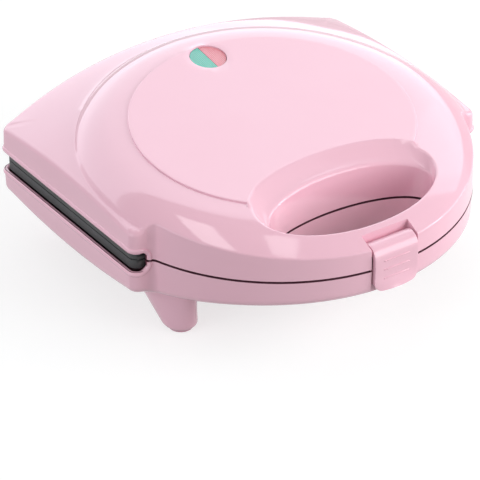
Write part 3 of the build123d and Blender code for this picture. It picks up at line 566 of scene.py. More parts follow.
class Skin:
    """Outer skin of one casing, made as rings that run in from the parting rim."""

    NOSE = (110.0, -68.0)
    FRONT = (40.0, -120.0)
    SIDES_X = 90.0
    WINDOW_X = 108.5
    WINDOW_Z = 5.8
    SLOT_X = 15.4
    THIN = 0.2
    PROBE = 0.4
    ON_OVAL = 0.004
    WELD_RINGS = 0.004
    WELD_ALL = 0.002

    def __init__(self, half: Half, plan: Plan, form: LidForm | BaseForm) -> None:
        """Keeps the outline and the form of the casing.

        Args:
            half: Which casing this is.
            plan: Its outline.
            form: Its outer form.
        """
        self.half = half
        self.plan = plan
        self.form = form
        self.bm = bmesh.new()

    def rounded_edge(self) -> tuple[Array, list[Array]]:
        """Rings of the wall and of the rounded edge above it.

        Returns:
            The last ring in plan, and all the rings as points.
        """
        p, n, form = self.plan.points, self.plan.normals, self.form
        nose = (np.abs(p[:, 0]) < self.NOSE[0]) & (p[:, 1] < self.NOSE[1])
        r = np.where(nose, form.nose_edge_r, form.edge_r)
        inset = r + 1.0
        for _ in range(14):
            near = [p - n * (inset + d)[:, None] for d in (-self.PROBE, 0.0, self.PROBE)]
            low, here, high = (form.edge(*q.T, nose) for q in near)
            slope = np.maximum((high - low) / (2 * self.PROBE), 0)
            centre = here - r * np.sqrt(1 + slope**2)
            inset = 0.5 * inset + 0.5 * ((centre - PART_GAP) * DRAFT + r)
        inset, centre, slope, r = (blurred(v, 4) for v in (inset, centre, slope, r))
        start = centre + r * math.sin(DRAFT_ANGLE)
        levels = [np.full(len(p), PART_GAP)]
        levels += [self.WINDOW_Z + (start - self.WINDOW_Z) * f for f in (0.0, 0.35, 0.7, 1.0)]
        rings = [self.ring(p - n * ((z - PART_GAP) * DRAFT)[:, None], z) for z in levels]
        first, last = math.pi - DRAFT_ANGLE, math.pi / 2 + np.arctan(slope)
        for share in np.linspace(0, 1, 9)[1:]:
            angle = first + (last - first) * share
            flat = p - n * (inset + r * np.cos(angle))[:, None]
            rings.append(self.ring(flat, centre + r * np.sin(angle)))
        flat = self.fanned(flat)
        rings[-1][:, :2] = flat
        return flat, rings

    @staticmethod
    def fanned(flat: Array, trace: float = 2e-4) -> Array:
        """Turns points a trace about the middle, so that none lies behind the one before.

        Args:
            flat: The points in plan, in order round the middle.
            trace: Least angle from each to the next, in radians.

        Returns:
            The turned points.
        """
        away = flat - (0, MIDDLE_Y)
        radius = np.linalg.norm(away, axis=1)
        ramp = np.arange(len(flat)) * trace
        angle = np.unwrap(np.arctan2(away[:, 1], away[:, 0]))
        angle = np.maximum.accumulate(angle - ramp) + ramp
        return np.stack((radius * np.cos(angle), MIDDLE_Y + radius * np.sin(angle)), 1)

    @staticmethod
    def ring(flat: Array, z: Array) -> Array:
        """Ring of points from their plan and their height."""
        return np.concatenate((flat, np.reshape(z, (-1, 1))), 1)

    def weave(self, rings: list[Array], centre: Triple) -> None:
        """Joins rings into faces.

        Args:
            rings: The rings, from the parting rim inwards.
            centre: Point that closes the last one.
        """
        last = bridge(self.bm, rings)[-1]
        tip = self.bm.verts.new(centre)
        for a, b in zip(last, last[1:] + last[:1]):
            self.bm.faces.new((a, b, tip))
        bmesh.ops.remove_doubles(self.bm, verts=self.bm.verts, dist=self.WELD_RINGS)

    def drop(self, test: Test) -> None:
        """Deletes the faces whose middle passes a test."""
        doomed = [f for f in self.bm.faces if test(f.calc_center_median())]
        bmesh.ops.delete(self.bm, geom=doomed, context="FACES")

    def cut(self, inside: Callable[[Vector], float], where: Test) -> None:
        """Cuts the skin along a curve and drops what lies inside it.

        Args:
            inside: Negative inside the curve.
            where: The part of the skin that the cut may touch.
        """
        fresh = set()
        for edge in [e for e in self.bm.edges if where((e.verts[0].co + e.verts[1].co) / 2)]:
            a, b = edge.verts
            side = inside(a.co)
            if side * inside(b.co) < 0:
                share = halve(lambda t: side * inside(a.co.lerp(b.co, t)) > 0, 0.0, 1.0, 22)
                fresh.add(bmesh.utils.edge_split(edge, a, share)[1])
        for face in list(self.bm.faces):
            on_curve = [v for v in face.verts if v in fresh]
            if len(on_curve) == 2:
                bmesh.utils.face_split(face, *on_curve)
        self.drop(lambda c: where(c) and inside(c) < 0)

    def slice(self, point: Triple, normal: Triple, where: Test) -> None:
        """Adds edges along a plane.

        Args:
            point: A point of the plane.
            normal: Its normal.
            where: The part of the skin that takes the edges.
        """
        faces = [f for f in self.bm.faces if where(f.calc_center_median())]
        edges = {e for f in faces for e in f.edges}
        verts = {v for f in faces for v in f.verts}
        bmesh.ops.bisect_plane(
            self.bm, geom=[*faces, *edges, *verts], plane_co=point, plane_no=normal, dist=1e-5
        )

    def windows(self) -> None:
        """Opens the windows that show the plate rims."""
        for x in (-self.WINDOW_X, self.WINDOW_X):
            self.slice(
                (x, 0, 0), (1, 0, 0), lambda c: c.z < self.WINDOW_Z and abs(c.x) > self.SIDES_X
            )
        self.drop(lambda c: c.z < self.WINDOW_Z - NEAR and abs(c.x) > self.WINDOW_X)

    def window_edge(self, c: Vector) -> bool:
        """Whether a point lies on the edge of a window."""
        level, over = abs(c.z - self.WINDOW_Z) < NEAR, abs(c.x) - self.WINDOW_X
        return (level and over > -0.5) or (c.z < self.WINDOW_Z + NEAR and abs(over) < NEAR)

    def border(self) -> set[Vert]:
        """Corners on the open borders."""
        return {v for e in self.bm.edges if e.is_boundary for v in e.verts}

    def slot(self, back: float) -> None:
        """Cuts the slot of the latch into the front, with its side and rear walls.

        Args:
            back: Place of the rear wall along y.
        """
        half, (reach, front) = self.SLOT_X, self.FRONT
        across, along = (1, 0, 0), (0, 1, 0)
        planes = (((half, 0, 0), across), ((-half, 0, 0), across), ((0, back, 0), along))
        for point, normal in planes:
            self.slice(point, normal, lambda c: c.y < front and abs(c.x) < reach)
        self.drop(lambda c: abs(c.x) < half and c.y < back)
        border = self.border()
        floor = {s: self.bm.verts.new((s * half, back, PART_GAP)) for s in (-1, 1)}
        for s, corner in floor.items():
            side = [v for v in border if abs(v.co.x - s * half) < NEAR and v.co.y < back + NEAR]
            loop = [corner, *sorted(side, key=lambda v: v.co.z + v.co.y)]
            self.bm.faces.new(loop if s < 0 else loop[::-1])
        rear = [v for v in border if abs(v.co.y - back) < NEAR and abs(v.co.x) < half + NEAR]
        rear.sort(key=lambda v: v.co.x, reverse=True)
        self.bm.faces.new([floor[1], *rear, floor[-1]])

    def border_loop(self, oval: Oval) -> tuple[list[Vert], Array, Array]:
        """Finds the open border along an oval.

        Args:
            oval: The oval.

        Returns:
            The border's corners in order, their angles round the oval and their places.
        """
        found = [v for v in self.border() if abs(oval.inside(v.co)) < self.ON_OVAL]
        found.sort(key=lambda v: oval.angle(v.co.x, v.co.y))
        places = np.array([v.co for v in found])
        return found, oval.angle(places[:, 0], places[:, 1]), places

    def piece(self, name: str, material: Material, inside: Material) -> Object:
        """The casing with its wall thickness, as an object in the scene.

        Args:
            name: Name of the piece.
            material: Finish of its outside.
            inside: Finish of its inside and its rims: matt pink, darkened as painted shade so the
                parting gap and window edges read dark.

        Returns:
            The piece.
        """
        bmesh.ops.remove_doubles(self.bm, verts=self.bm.verts, dist=self.WELD_ALL)
        bmesh.ops.recalc_face_normals(self.bm, faces=self.bm.faces)
        self.bm.verts.index_update()
        thin = [v.index for v in self.bm.verts if self.window_edge(v.co)]
        full = [v.index for v in self.bm.verts if not self.window_edge(v.co)]
        for v in self.bm.verts:
            v.co = placed(v.co.x, v.co.y, v.co.z * self.half.value)
        if self.half is Half.BASE:
            bmesh.ops.reverse_faces(self.bm, faces=self.bm.faces)
        shell = finish_piece(name, to_mesh(self.bm, name), material)
        shell.data.materials.append(inside)
        shell.vertex_groups.new(name="full").add(full, 1.0, "REPLACE")
        shell.vertex_groups["full"].add(thin, self.THIN, "REPLACE")
        wall = shell.modifiers.new("wall", "SOLIDIFY")
        wall.thickness = WALL * MM
        wall.offset = -1.0
        # The inside and the rim faces take the darkened inside finish: painted shade in the
        # parting gap and along the window edges.
        wall.material_offset = 1
        wall.material_offset_rim = 1
        wall.vertex_group = "full"
        baked(shell)
        shell.vertex_groups.clear()
        return shell


@dataclass
class Casing:
    """One casing: its outline, its outer form and the finger opening through it."""

    plan: Plan
    form: LidForm | BaseForm
    opening: Opening
    name: ClassVar[str]
    half: ClassVar[Half]
    slot_back: ClassVar[float]

    def rings_inward(self, edge: Array) -> tuple[list[Array], Triple]:
        """Rings inside the rounded edge, and the point that closes them."""
        raise NotImplementedError

    def openings(self, skin: Skin) -> None:
        """Opens what only this casing has."""
        raise NotImplementedError

    def build(self, material: Material, inside: Material) -> Object:
        """Builds the casing.

        Args:
            material: Finish of its outside.
            inside: Finish of its inside and its rims, darkened as painted shade.

        Returns:
            The piece.
        """
        skin = Skin(self.half, self.plan, self.form)
        edge, rings = skin.rounded_edge()
        inward, centre = self.rings_inward(edge)
        skin.weave(rings + inward, centre)
        self.openings(skin)
        skin.windows()
        skin.slot(self.slot_back)
        return skin.piece(self.name, material, inside)


@dataclass
class Lid(Casing):
    """Lid casing: shoulder, dome, disc, sloped rim, latch slot and lamp hole."""

    lamp_y: float = 32.0
    lamp_r: float = 10.7
    lamp_lip: tuple[Pair, ...] = ((0.35, 0.0), (0.1, 0.1), (0.0, 0.35), (0.0, 3.2))
    lamp_sides: int = 96
    lamp_reach: float = 13.7
    lamp_search: float = 30.0
    crease_limit: float = 0.97
    shoulder_rings: tuple[float, ...] = (0.25, 0.5, 0.75, 0.9, 1.0)
    side_rings: tuple[float, ...] = (
        0.03, 0.07, 0.13, 0.2, 0.28, 0.37, 0.46, 0.55, 0.64, 0.73, 0.82, 0.91, 1.0,
    )
    disc_edge: tuple[Pair, ...] = ((0.9995, 0.3), (0.9965, 0.06), (0.992, 0.0))
    disc_rings: tuple[float, ...] = (0.97, 0.92, 0.86, 0.79, 0.71, 0.62, 0.52, 0.41, 0.29, 0.16)
    name: ClassVar[str] = "lid_shell"
    half: ClassVar[Half] = Half.LID
    slot_back: ClassVar[float] = -135.3

    def spokes(self, edge: Array) -> tuple[Array, Array]:
        """Where each column of faces meets the disc, and where it crosses the crease.

        Args:
            edge: Outer ends of the columns, in plan.

        Returns:
            Points on the disc's edge, and the share of each column at the crease.
        """
        a, b, middle = self.form.disc
        turn = np.arctan2(edge[:, 1] - middle, edge[:, 0])
        step = blurred((np.roll(turn, -1) - turn + math.pi) % (2 * math.pi) - math.pi, 9)
        turn = turn[0] + np.concatenate(([0.0], np.cumsum(step)[:-1]))
        radius = 1 / np.sqrt((np.cos(turn) / a) ** 2 + (np.sin(turn) / b) ** 2)
        disc = np.stack((radius * np.cos(turn), middle + radius * np.sin(turn)), 1)

        def domed(share: Array) -> Array:
            """Whether the dome's side is the higher face at a share of each column."""
            at = disc + (edge - disc) * share[:, None]
            return self.form.dome_height(*at.T) > self.form.crown_height(*at.T)

        crease = halve(domed, np.zeros(len(edge)), np.ones(len(edge)), 26)
        return disc, np.minimum(crease, self.crease_limit)

    def rings_inward(self, edge: Array) -> tuple[list[Array], Triple]:
        """Rings of the shoulder, the dome's side and the disc.

        Args:
            edge: Inner end of the rounded edge, in plan.

        Returns:
            The rings, and the disc's centre.
        """
        disc, crease = self.spokes(edge)
        middle, tilt = self.form.disc.middle, self.form.disc_tilt
        shares = [1 + (crease - 1) * f for f in self.shoulder_rings]
        shares += [crease * (1 - f) for f in self.side_rings]
        rings = []
        for share in shares:
            at = disc + (edge - disc) * share[:, None]
            rings.append(Skin.ring(at, self.form.height(*at.T)))
        for f, drop in (*self.disc_edge, *((f, 0.0) for f in self.disc_rings)):
            at = (0, middle) + (disc - (0, middle)) * f
            rings.append(Skin.ring(at, self.form.disc_z + tilt * at[:, 1] - drop))
        return rings, (0.0, middle, self.form.disc_z + tilt * middle)

    def on_top(self, flat: Array) -> Array:
        """Points on the upper face, from their plan."""
        return Skin.ring(flat, self.form.top(*flat.T))

    def rim(self, skin: Skin) -> None:
        """Adds the sloped rim and the well of the finger opening.

        Args:
            skin: The lid's skin.
        """
        opening, probe = self.opening, 0.1
        skin.cut(opening.outer.inside, lambda c: c.y < opening.rear)
        start, angle, places = skin.border_loop(opening.outer)
        flat = places[:, :2]
        edge = opening.edge_run(angle, self.form)
        corner = opening.slope(angle, edge)
        away = flat - corner[:, :2]
        away /= np.linalg.norm(away, axis=1, keepdims=True)
        top = self.on_top(corner[:, :2] + away * opening.lip)
        pace = np.linalg.norm(corner - opening.slope(angle, edge - probe), axis=1) / probe
        inner = edge - opening.band / pace
        rings = [self.on_top(flat + (top[:, :2] - flat) * share) for share in (0.45, 0.8)]
        rings += round_corner(top, corner, opening.slope(angle, inner), np.linspace(0, 1, 7))
        for t in (0.2, 0.4, 0.6, 0.8):
            dished = opening.slope(angle, inner * (1 - t))
            dished[:, 2] -= opening.dish * 4 * t * (1 - t)
            rings.append(dished)
        foot = opening.slope(angle, np.zeros_like(angle))
        shoulder = opening.slope(angle, np.full_like(angle, opening.foot_run))
        below = foot - (0, 0, opening.foot_drop)
        rings += round_corner(shoulder, foot, below, np.linspace(0, 1, 5))
        for share in (0.3, 0.65, 1.0):
            rings.append(Skin.ring(below[:, :2], below[:, 2] + (PART_GAP - below[:, 2]) * share))
        bridge(skin.bm, [start, *rings])

    def from_lamp(self, corner: Vert) -> float:
        """Distance in plan between a corner and the middle of the lamp hole."""
        return math.hypot(corner.co.x, corner.co.y - self.lamp_y)

    def lamp_hole(self, skin: Skin) -> None:
        """Cuts the round hole of the indicator into the disc.

        Args:
            skin: The lid's skin.
        """
        bm, form, reach, search = skin.bm, self.form, self.lamp_reach, self.lamp_search
        doomed = [f for f in bm.faces if any(self.from_lamp(v) < reach for v in f.verts)]
        bmesh.ops.delete(bm, geom=doomed, context="FACES")
        jagged = [e for e in bm.edges if e.is_boundary and self.from_lamp(e.verts[0]) < search]
        rows = []
        for grow, drop in self.lamp_lip:
            row, r = [], self.lamp_r + grow
            for turn in turns(self.lamp_sides):
                x, y = r * math.cos(turn), self.lamp_y + r * math.sin(turn)
                row.append(bm.verts.new((x, y, form.disc_z + form.disc_tilt * y - drop)))
            rows.append(row)
        circle = [bm.edges.new(pair) for pair in zip(rows[0], rows[0][1:] + rows[0][:1])]
        edges = [*jagged, *circle]
        bmesh.ops.triangle_fill(bm, use_beauty=True, use_dissolve=False, edges=edges)
        bridge(bm, rows)

    def openings(self, skin: Skin) -> None:
        """Opens the rim, the well and the lamp hole."""
        self.rim(skin)
        self.lamp_hole(skin)


@dataclass
class Base(Casing):
    """Base casing: draft walls, underside, nose ramp, well and catch recess."""

    belly_rings: tuple[float, ...] = (
        0.985, 0.965, 0.94, 0.91, 0.88, 0.84, 0.8, 0.76, 0.72, 0.68, 0.63, 0.57, 0.5, 0.4, 0.25,
    )
    well_rings: tuple[float, ...] = (0.25, 0.5, 0.75, 1.0)
    gland_z: float = 20.0
    gland_r: float = 6.0
    rear_wall: float = 78.0
    well_rear: float = -60.0
    name: ClassVar[str] = "base_shell"
    half: ClassVar[Half] = Half.BASE
    slot_back: ClassVar[float] = -142.6

    def rings_inward(self, edge: Array) -> tuple[list[Array], Triple]:
        """Rings of the underside.

        Args:
            edge: Inner end of the rounded edge, in plan.

        Returns:
            The rings, and the point under the middle.
        """
        rings = []
        for share in self.belly_rings:
            at = (0, MIDDLE_Y) + (edge - (0, MIDDLE_Y)) * share
            rings.append(Skin.ring(at, self.form.height(*at.T)))
        return rings, (0.0, MIDDLE_Y, self.form.belly)

    def well(self, skin: Skin) -> None:
        """Adds the upright wall of the finger opening.

        Args:
            skin: The base's skin.
        """
        oval, lip = self.opening.well, self.opening.base_lip
        grown = Oval(oval.a + lip, oval.b + lip, oval.middle)
        skin.cut(grown.inside, lambda c: c.y < self.well_rear)
        start, angle, places = skin.border_loop(grown)
        depth, flat = places[:, 2], oval.points(angle)
        outer, corner = Skin.ring(grown.points(angle), depth), Skin.ring(flat, depth)
        inner = Skin.ring(flat, depth - lip)
        rings = round_corner(outer, corner, inner, self.well_rings)
        for share in self.well_rings:
            rings.append(Skin.ring(flat, inner[:, 2] + (PART_GAP - inner[:, 2]) * share))
        bridge(skin.bm, [start, *rings])

    def openings(self, skin: Skin) -> None:
        """Opens the well and the hole of the cord inlet.

        Args:
            skin: The base's skin.
        """
        self.well(skin)
        z, r = self.gland_z, self.gland_r
        skin.cut(
            lambda p: p.x**2 + (p.z - z) ** 2 - r**2,
            lambda c: c.y > self.rear_wall and abs(c.x) < 2 * r and abs(c.z - z) < 2 * r,
        )


class Tree:
    """Node tree whose nodes are added with their settings and inputs."""

    def __init__(self, tree: bpy.types.NodeTree) -> None:
        """Keeps the tree."""
        self.tree = tree

    def feed(self, node: Node, inputs: dict[str | int, object]) -> None:
        """Sets a node's inputs.

        Args:
            node: The node.
            inputs: Value or source of each input that isn't at its default.
        """
        for key, value in inputs.items():
            if isinstance(value, Socket):
                self.tree.links.new(value, node.inputs[key])
            else:
                node.inputs[key].default_value = value

    def node(self, kind: str, inputs: dict[str | int, object], **settings: object) -> Node:
        """Adds a node.

        Args:
            kind: Its type.
            inputs: Value or source of each input that isn't at its default.
            **settings: Its properties.

        Returns:
            The node.
        """
        made = self.tree.nodes.new(kind)
        for key, value in settings.items():
            setattr(made, key, value)
        self.feed(made, inputs)
        return made


class Group(Tree):
    """Node group with named inputs and outputs."""

    def __init__(self, name: str, kind: str, inputs: dict[str, tuple[str, object]]) -> None:
        """Starts a group with its inputs.

        Args:
            name: Its name.
            kind: Type of its tree.
            inputs: Socket type and default of each input.
        """
        super().__init__(bpy.data.node_groups.new(name, kind))
        self.keys: dict[str, str] = {}
        for title, (socket_type, value) in inputs.items():
            socket = self.tree.interface.new_socket(
                name=title, in_out="INPUT", socket_type=f"NodeSocket{socket_type}"
            )
            self.keys[title] = socket.identifier
            if value is not None:
                socket.default_value = value
        self.given = self.tree.nodes.new("NodeGroupInput").outputs
        self.end = self.tree.nodes.new("NodeGroupOutput")

    def give(self, name: str, kind: str, source: Socket) -> None:
        """Adds an output.

        Args:
            name: Its name.
            kind: Its type.
            source: Socket that feeds it.
        """
        self.tree.interface.new_socket(
            name=name, in_out="OUTPUT", socket_type=f"NodeSocket{kind}"
        )
        self.tree.links.new(source, self.end.inputs[name])


class Recipe(Group):
    """Geometry Nodes tree with named inputs that is worked once into a plain mesh."""

    def __init__(self, name: str, **inputs: str) -> None:
        """Starts a tree whose named inputs have the given socket types."""
        kinds = {key: (kind, None) for key, kind in {"Geometry": "Geometry", **inputs}.items()}
        super().__init__(name, "GeometryNodeTree", kinds)

    def finish(self, geometry: Socket, material: Material) -> None:
        """Ends the tree in real geometry with its material.

        Args:
            geometry: What the tree has made.
            material: Its finish.
        """
        real = self.node("GeometryNodeRealizeInstances", {"Geometry": geometry})
        dress = self.node(
            "GeometryNodeSetMaterial", {"Material": material, "Geometry": real.outputs["Geometry"]}
        )
        self.give("Geometry", "Geometry", dress.outputs["Geometry"])

    def work(self, name: str, mesh: Mesh, material: Material, **sizes: object) -> Object:
        """Applies the tree to a mesh.

        Args:
            name: Name of the finished piece.
            mesh: What the tree starts from.
            material: Finish of the piece.
            **sizes: Values of the named inputs.

        Returns:
            The piece, as a plain mesh.
        """
        piece = in_scene(name, mesh)
        modifier = piece.modifiers.new("recipe", "NODES")
        modifier.node_group = self.tree
        for key, value in sizes.items():
            modifier[self.keys[key]] = value
        bpy.context.view_layer.update()
        baked(piece)
        piece.data.materials.clear()
        piece.data.materials.append(material)
        return piece


@dataclass
class Bead:
    """Rounded bead round the windows of one casing, sunk into its walls."""

    plan: Plan
    radius: float = 1.6
    sunk: float = 0.8
    height: float = 7.4
    corner: float = 5.4
    end_x: float = 106.9
    rear_y: float = 60.0
    along: tuple[Array, Array, Array] = field(init=False)

    def __post_init__(self) -> None:
        """Measures the outline once."""
        self.along = self.plan.along()

    def wall_point(self, run: float, z: float, side: int, half: Half) -> Vector:
        """Point under the surface of a wall.

        Args:
            run: Running length along the outline.
            z: Height from the parting plane.
            side: 1 on the right, -1 on the left.
            half: Which casing the wall is of.

        Returns:
            The point, in the frame's metres.
        """
        length, points, normals = self.along
        x, y, nx, ny = (np.interp(run, length, values) for values in (*points.T, *normals.T))
        inset = (z - PART_GAP) * DRAFT + self.sunk
        return placed(side * (x - nx * inset), y - ny * inset, z * half.value)

    def path(self) -> list[Pair]:
        """Middle line of the bead on the right side.

        Returns:
            Its running lengths and heights, from the front to the rear.
        """
        length, points, _ = self.along
        front, rear = points[:, 1] < 0, points[:, 1] > self.rear_y
        first = np.interp(self.end_x, points[front, 0], length[front])
        last = np.interp(-self.end_x, -points[rear, 0], length[rear])
        bend = [
            (self.corner * (1 - math.cos(t)), self.height - self.corner * (1 - math.sin(t)))
            for t in np.linspace(0, math.pi / 2, 11)
        ]
        rise = [(first + run, z) for run, z in bend]
        fall = [(last - run, z) for run, z in bend[::-1]]
        middle = [(run, self.height) for run in np.linspace(rise[-1][0], fall[0][0], 120)[1:-1]]
        return [(first, PART_GAP), *rise, *middle, *fall, (last, PART_GAP)]

    def build(self, half: Half, recipe: Recipe, material: Material) -> Object:
        """Builds both beads of one casing.

        Args:
            half: Which casing carries them.
            recipe: Tree that sweeps a round rod along a line.
            material: Finish of the casings.

        Returns:
            The piece.
        """
        bm = bmesh.new()
        for side in (-1, 1):
            row = [bm.verts.new(self.wall_point(run, z, side, half)) for run, z in self.path()]
            for pair in zip(row, row[1:]):
                bm.edges.new(pair)
        name = "lid_beads" if half is Half.LID else "base_beads"
        return recipe.work(name, to_mesh(bm, "bead_path"), material, Radius=self.radius * MM)


def rod_recipe(material: Material) -> Recipe:
    """Tree that sweeps a round rod along a line of edges.

    Args:
        material: Finish of the rod.

    Returns:
        The tree, whose input is the rod's radius.
    """
    recipe = Recipe("rod_along_line", Radius="Float")
    curve = recipe.node("GeometryNodeMeshToCurve", {"Mesh": recipe.given["Geometry"]})
    circle = recipe.node(
        "GeometryNodeCurvePrimitiveCircle", {"Resolution": 18, "Radius": recipe.given["Radius"]}
    )
    ends = {"Curve": curve.outputs["Curve"], "Profile Curve": circle.outputs["Curve"]}
    sweep = recipe.node("GeometryNodeCurveToMesh", {"Fill Caps": True, **ends})
    recipe.finish(sweep.outputs["Mesh"], material)
    return recipe


@dataclass
class Legs:
    """Four legs that lean in towards the middle of the casing."""

    front: Pair = (87.0, -68.5)
    rear: Pair = (80.0, 56.0)
    foot_r: float = 9.5
    top_x: float = 15.5
    front_top: float = 41.0
    rear_top: float = 27.0
    front_lean: float = 30.0
    rear_lean: float = 16.0
    foot_z: float = -48.5
    top_z: float = -12.0
    round_r: float = 2.6
    flat_rings: Pair = (3.4, 3.0)
    sides: int = 56

    def rings(self, x: float, y: float) -> list[list[Vector]]:
        """Rings of one leg.

        Args:
            x: Place of its foot across.
            y: Place of its foot along.

        Returns:
            The rings, from the middle of its foot to its top.
        """
        lean, reach = -self.rear_lean, self.rear_top
        if y < 0:
            lean, reach = self.front_lean, self.front_top
        tall, foot, r = self.top_z - self.foot_z, self.foot_r, self.round_r
        rows = [(1 - inset / foot, 0.0) for inset in self.flat_rings]
        for turn in np.linspace(0, math.pi / 2, 7):
            rows.append((1 - r * (1 - math.sin(turn)) / foot, r * (1 - math.cos(turn))))
        rows += [(1.0, height) for height in np.linspace(r, tall, 14)[1:]]
        rings = []
        for scale, height in rows:
            share = height / tall
            half_x, half_y = (foot + (top - foot) * share for top in (self.top_x, reach))
            oval = Oval(half_x * scale, half_y * scale, y + lean * share)
            flat = oval.points(np.array(turns(self.sides)))
            rings.append([placed(x + px, py, self.foot_z + height) for px, py in flat])
        return rings

    def build(self, material: Material) -> Object:
        """Builds the four legs as one piece.

        Args:
            material: Finish of the casings.

        Returns:
            The piece.
        """
        bm = bmesh.new()
        for x, y in (self.front, self.rear):
            for side in (-1, 1):
                rows = bridge(bm, self.rings(side * x, y))
                bm.faces.new(rows[0][::-1])
                bm.faces.new(rows[-1])
        return finish_piece("legs", to_mesh(bm, "legs"), material)


def extruded(bm: BMesh, profile: list[Pair], x0: float, x1: float) -> None:
    """Adds a closed bar.

    Args:
        bm: Mesh that takes it.
        profile: Its outline in y and z.
        x0: Its left end.
        x1: Its right end.
    """
    ends = bridge(bm, [[placed(x, y, z) for y, z in profile] for x in (x0, x1)])
    bm.faces.new(ends[0][::-1])
    bm.faces.new(ends[1])


def softened(piece: Object, width: float, segments: int = 3, angle: float = 35.0) -> Object:
    """Rounds the sharp edges of a piece.

    Args:
        piece: The piece.
        width: Width of the rounding, in millimetres.
        segments: Faces across the rounding.
        angle: Edges sharper than this many degrees are rounded.

    Returns:
        The piece as a plain mesh.
    """
    bevel = piece.modifiers.new("soft_edges", "BEVEL")
    bevel.width = width * MM
    bevel.segments = segments
    bevel.limit_method = "ANGLE"
    bevel.angle_limit = math.radians(angle)
    bevel.harden_normals = False
    return baked(piece, 40.0)


@dataclass
class Hinge:
    """Round lugs with their arms: knuckles on the lid between pairs of ears on the base."""

    axis_y: float = 91.0
    radius: float = 5.5
    round_from: float = 76.3
    round_to: float = -185.2
    root_y: float = 81.0
    arm: float = 14.0
    at: float = 45.0
    knuckle: float = 9.4
    ear: float = 5.0
    free: float = 0.3
    soft: float = 0.5

    def profile(self, up: int) -> list[Pair]:
        """Outline of one lug in y and z.

        Args:
            up: 1 for a knuckle of the lid, -1 for an ear of the base.

        Returns:
            Its corners.
        """
        root, neck, r = self.root_y, self.axis_y - self.radius, self.radius
        points = [(root, PART_GAP), (root, self.arm), (neck, self.arm)]
        for turn in np.radians(np.linspace(self.round_from, self.round_to, 40)):
            points.append((self.axis_y + r * math.cos(turn), r * math.sin(turn)))
        return [(y, up * z) for y, z in points]

    def build(self, half: Half, material: Material) -> Object:
        """Builds the lugs of one casing.

        Args:
            half: Which casing carries them.
            material: Finish of the casings.

        Returns:
            The piece.
        """
        reach = self.knuckle / 2 + self.free
        name, spans = "hinge_ears", [(-reach - self.ear, -reach), (reach, reach + self.ear)]
        if half is Half.LID:
            name, spans = "hinge_knuckles", [(-self.knuckle / 2, self.knuckle / 2)]
        bm = bmesh.new()
        for centre in (-self.at, self.at):
            for a, b in spans:
                extruded(bm, self.profile(half.value), centre + a, centre + b)
        bmesh.ops.recalc_face_normals(bm, faces=bm.faces)
        return softened(finish_piece(name, to_mesh(bm, name), material), self.soft)


@dataclass
class CordSeat:
    """Round flat seat of the cord inlet on the rear wall."""

    z: float = -20.0
    outer: float = 8.5
    bore: float = 6.1
    front: float = 82.0
    back: float = 87.0
    soft: float = 0.5
    sides: int = 64

    def build(self, material: Material) -> Object:
        """Builds the seat as a ring.

        Args:
            material: Finish of the casings.

        Returns:
            The piece.
        """
        bm = bmesh.new()
        bore, outer, front, back, soft = self.bore, self.outer, self.front, self.back, self.soft
        middle = 0.3 * soft
        section = [(bore, front), (outer, front), (outer, back - soft)]
        section += [(outer - middle, back - middle), (outer - soft, back), (bore, back)]
        rows = []
        for turn in turns(self.sides):
            c, s = math.cos(turn), math.sin(turn)
            rows.append([bm.verts.new(placed(r * c, y, self.z + r * s)) for r, y in section])
        bridge(bm, [*rows, rows[0]])
        bmesh.ops.recalc_face_normals(bm, faces=bm.faces)
        return finish_piece("cord_seat", to_mesh(bm, "cord_seat"), material)


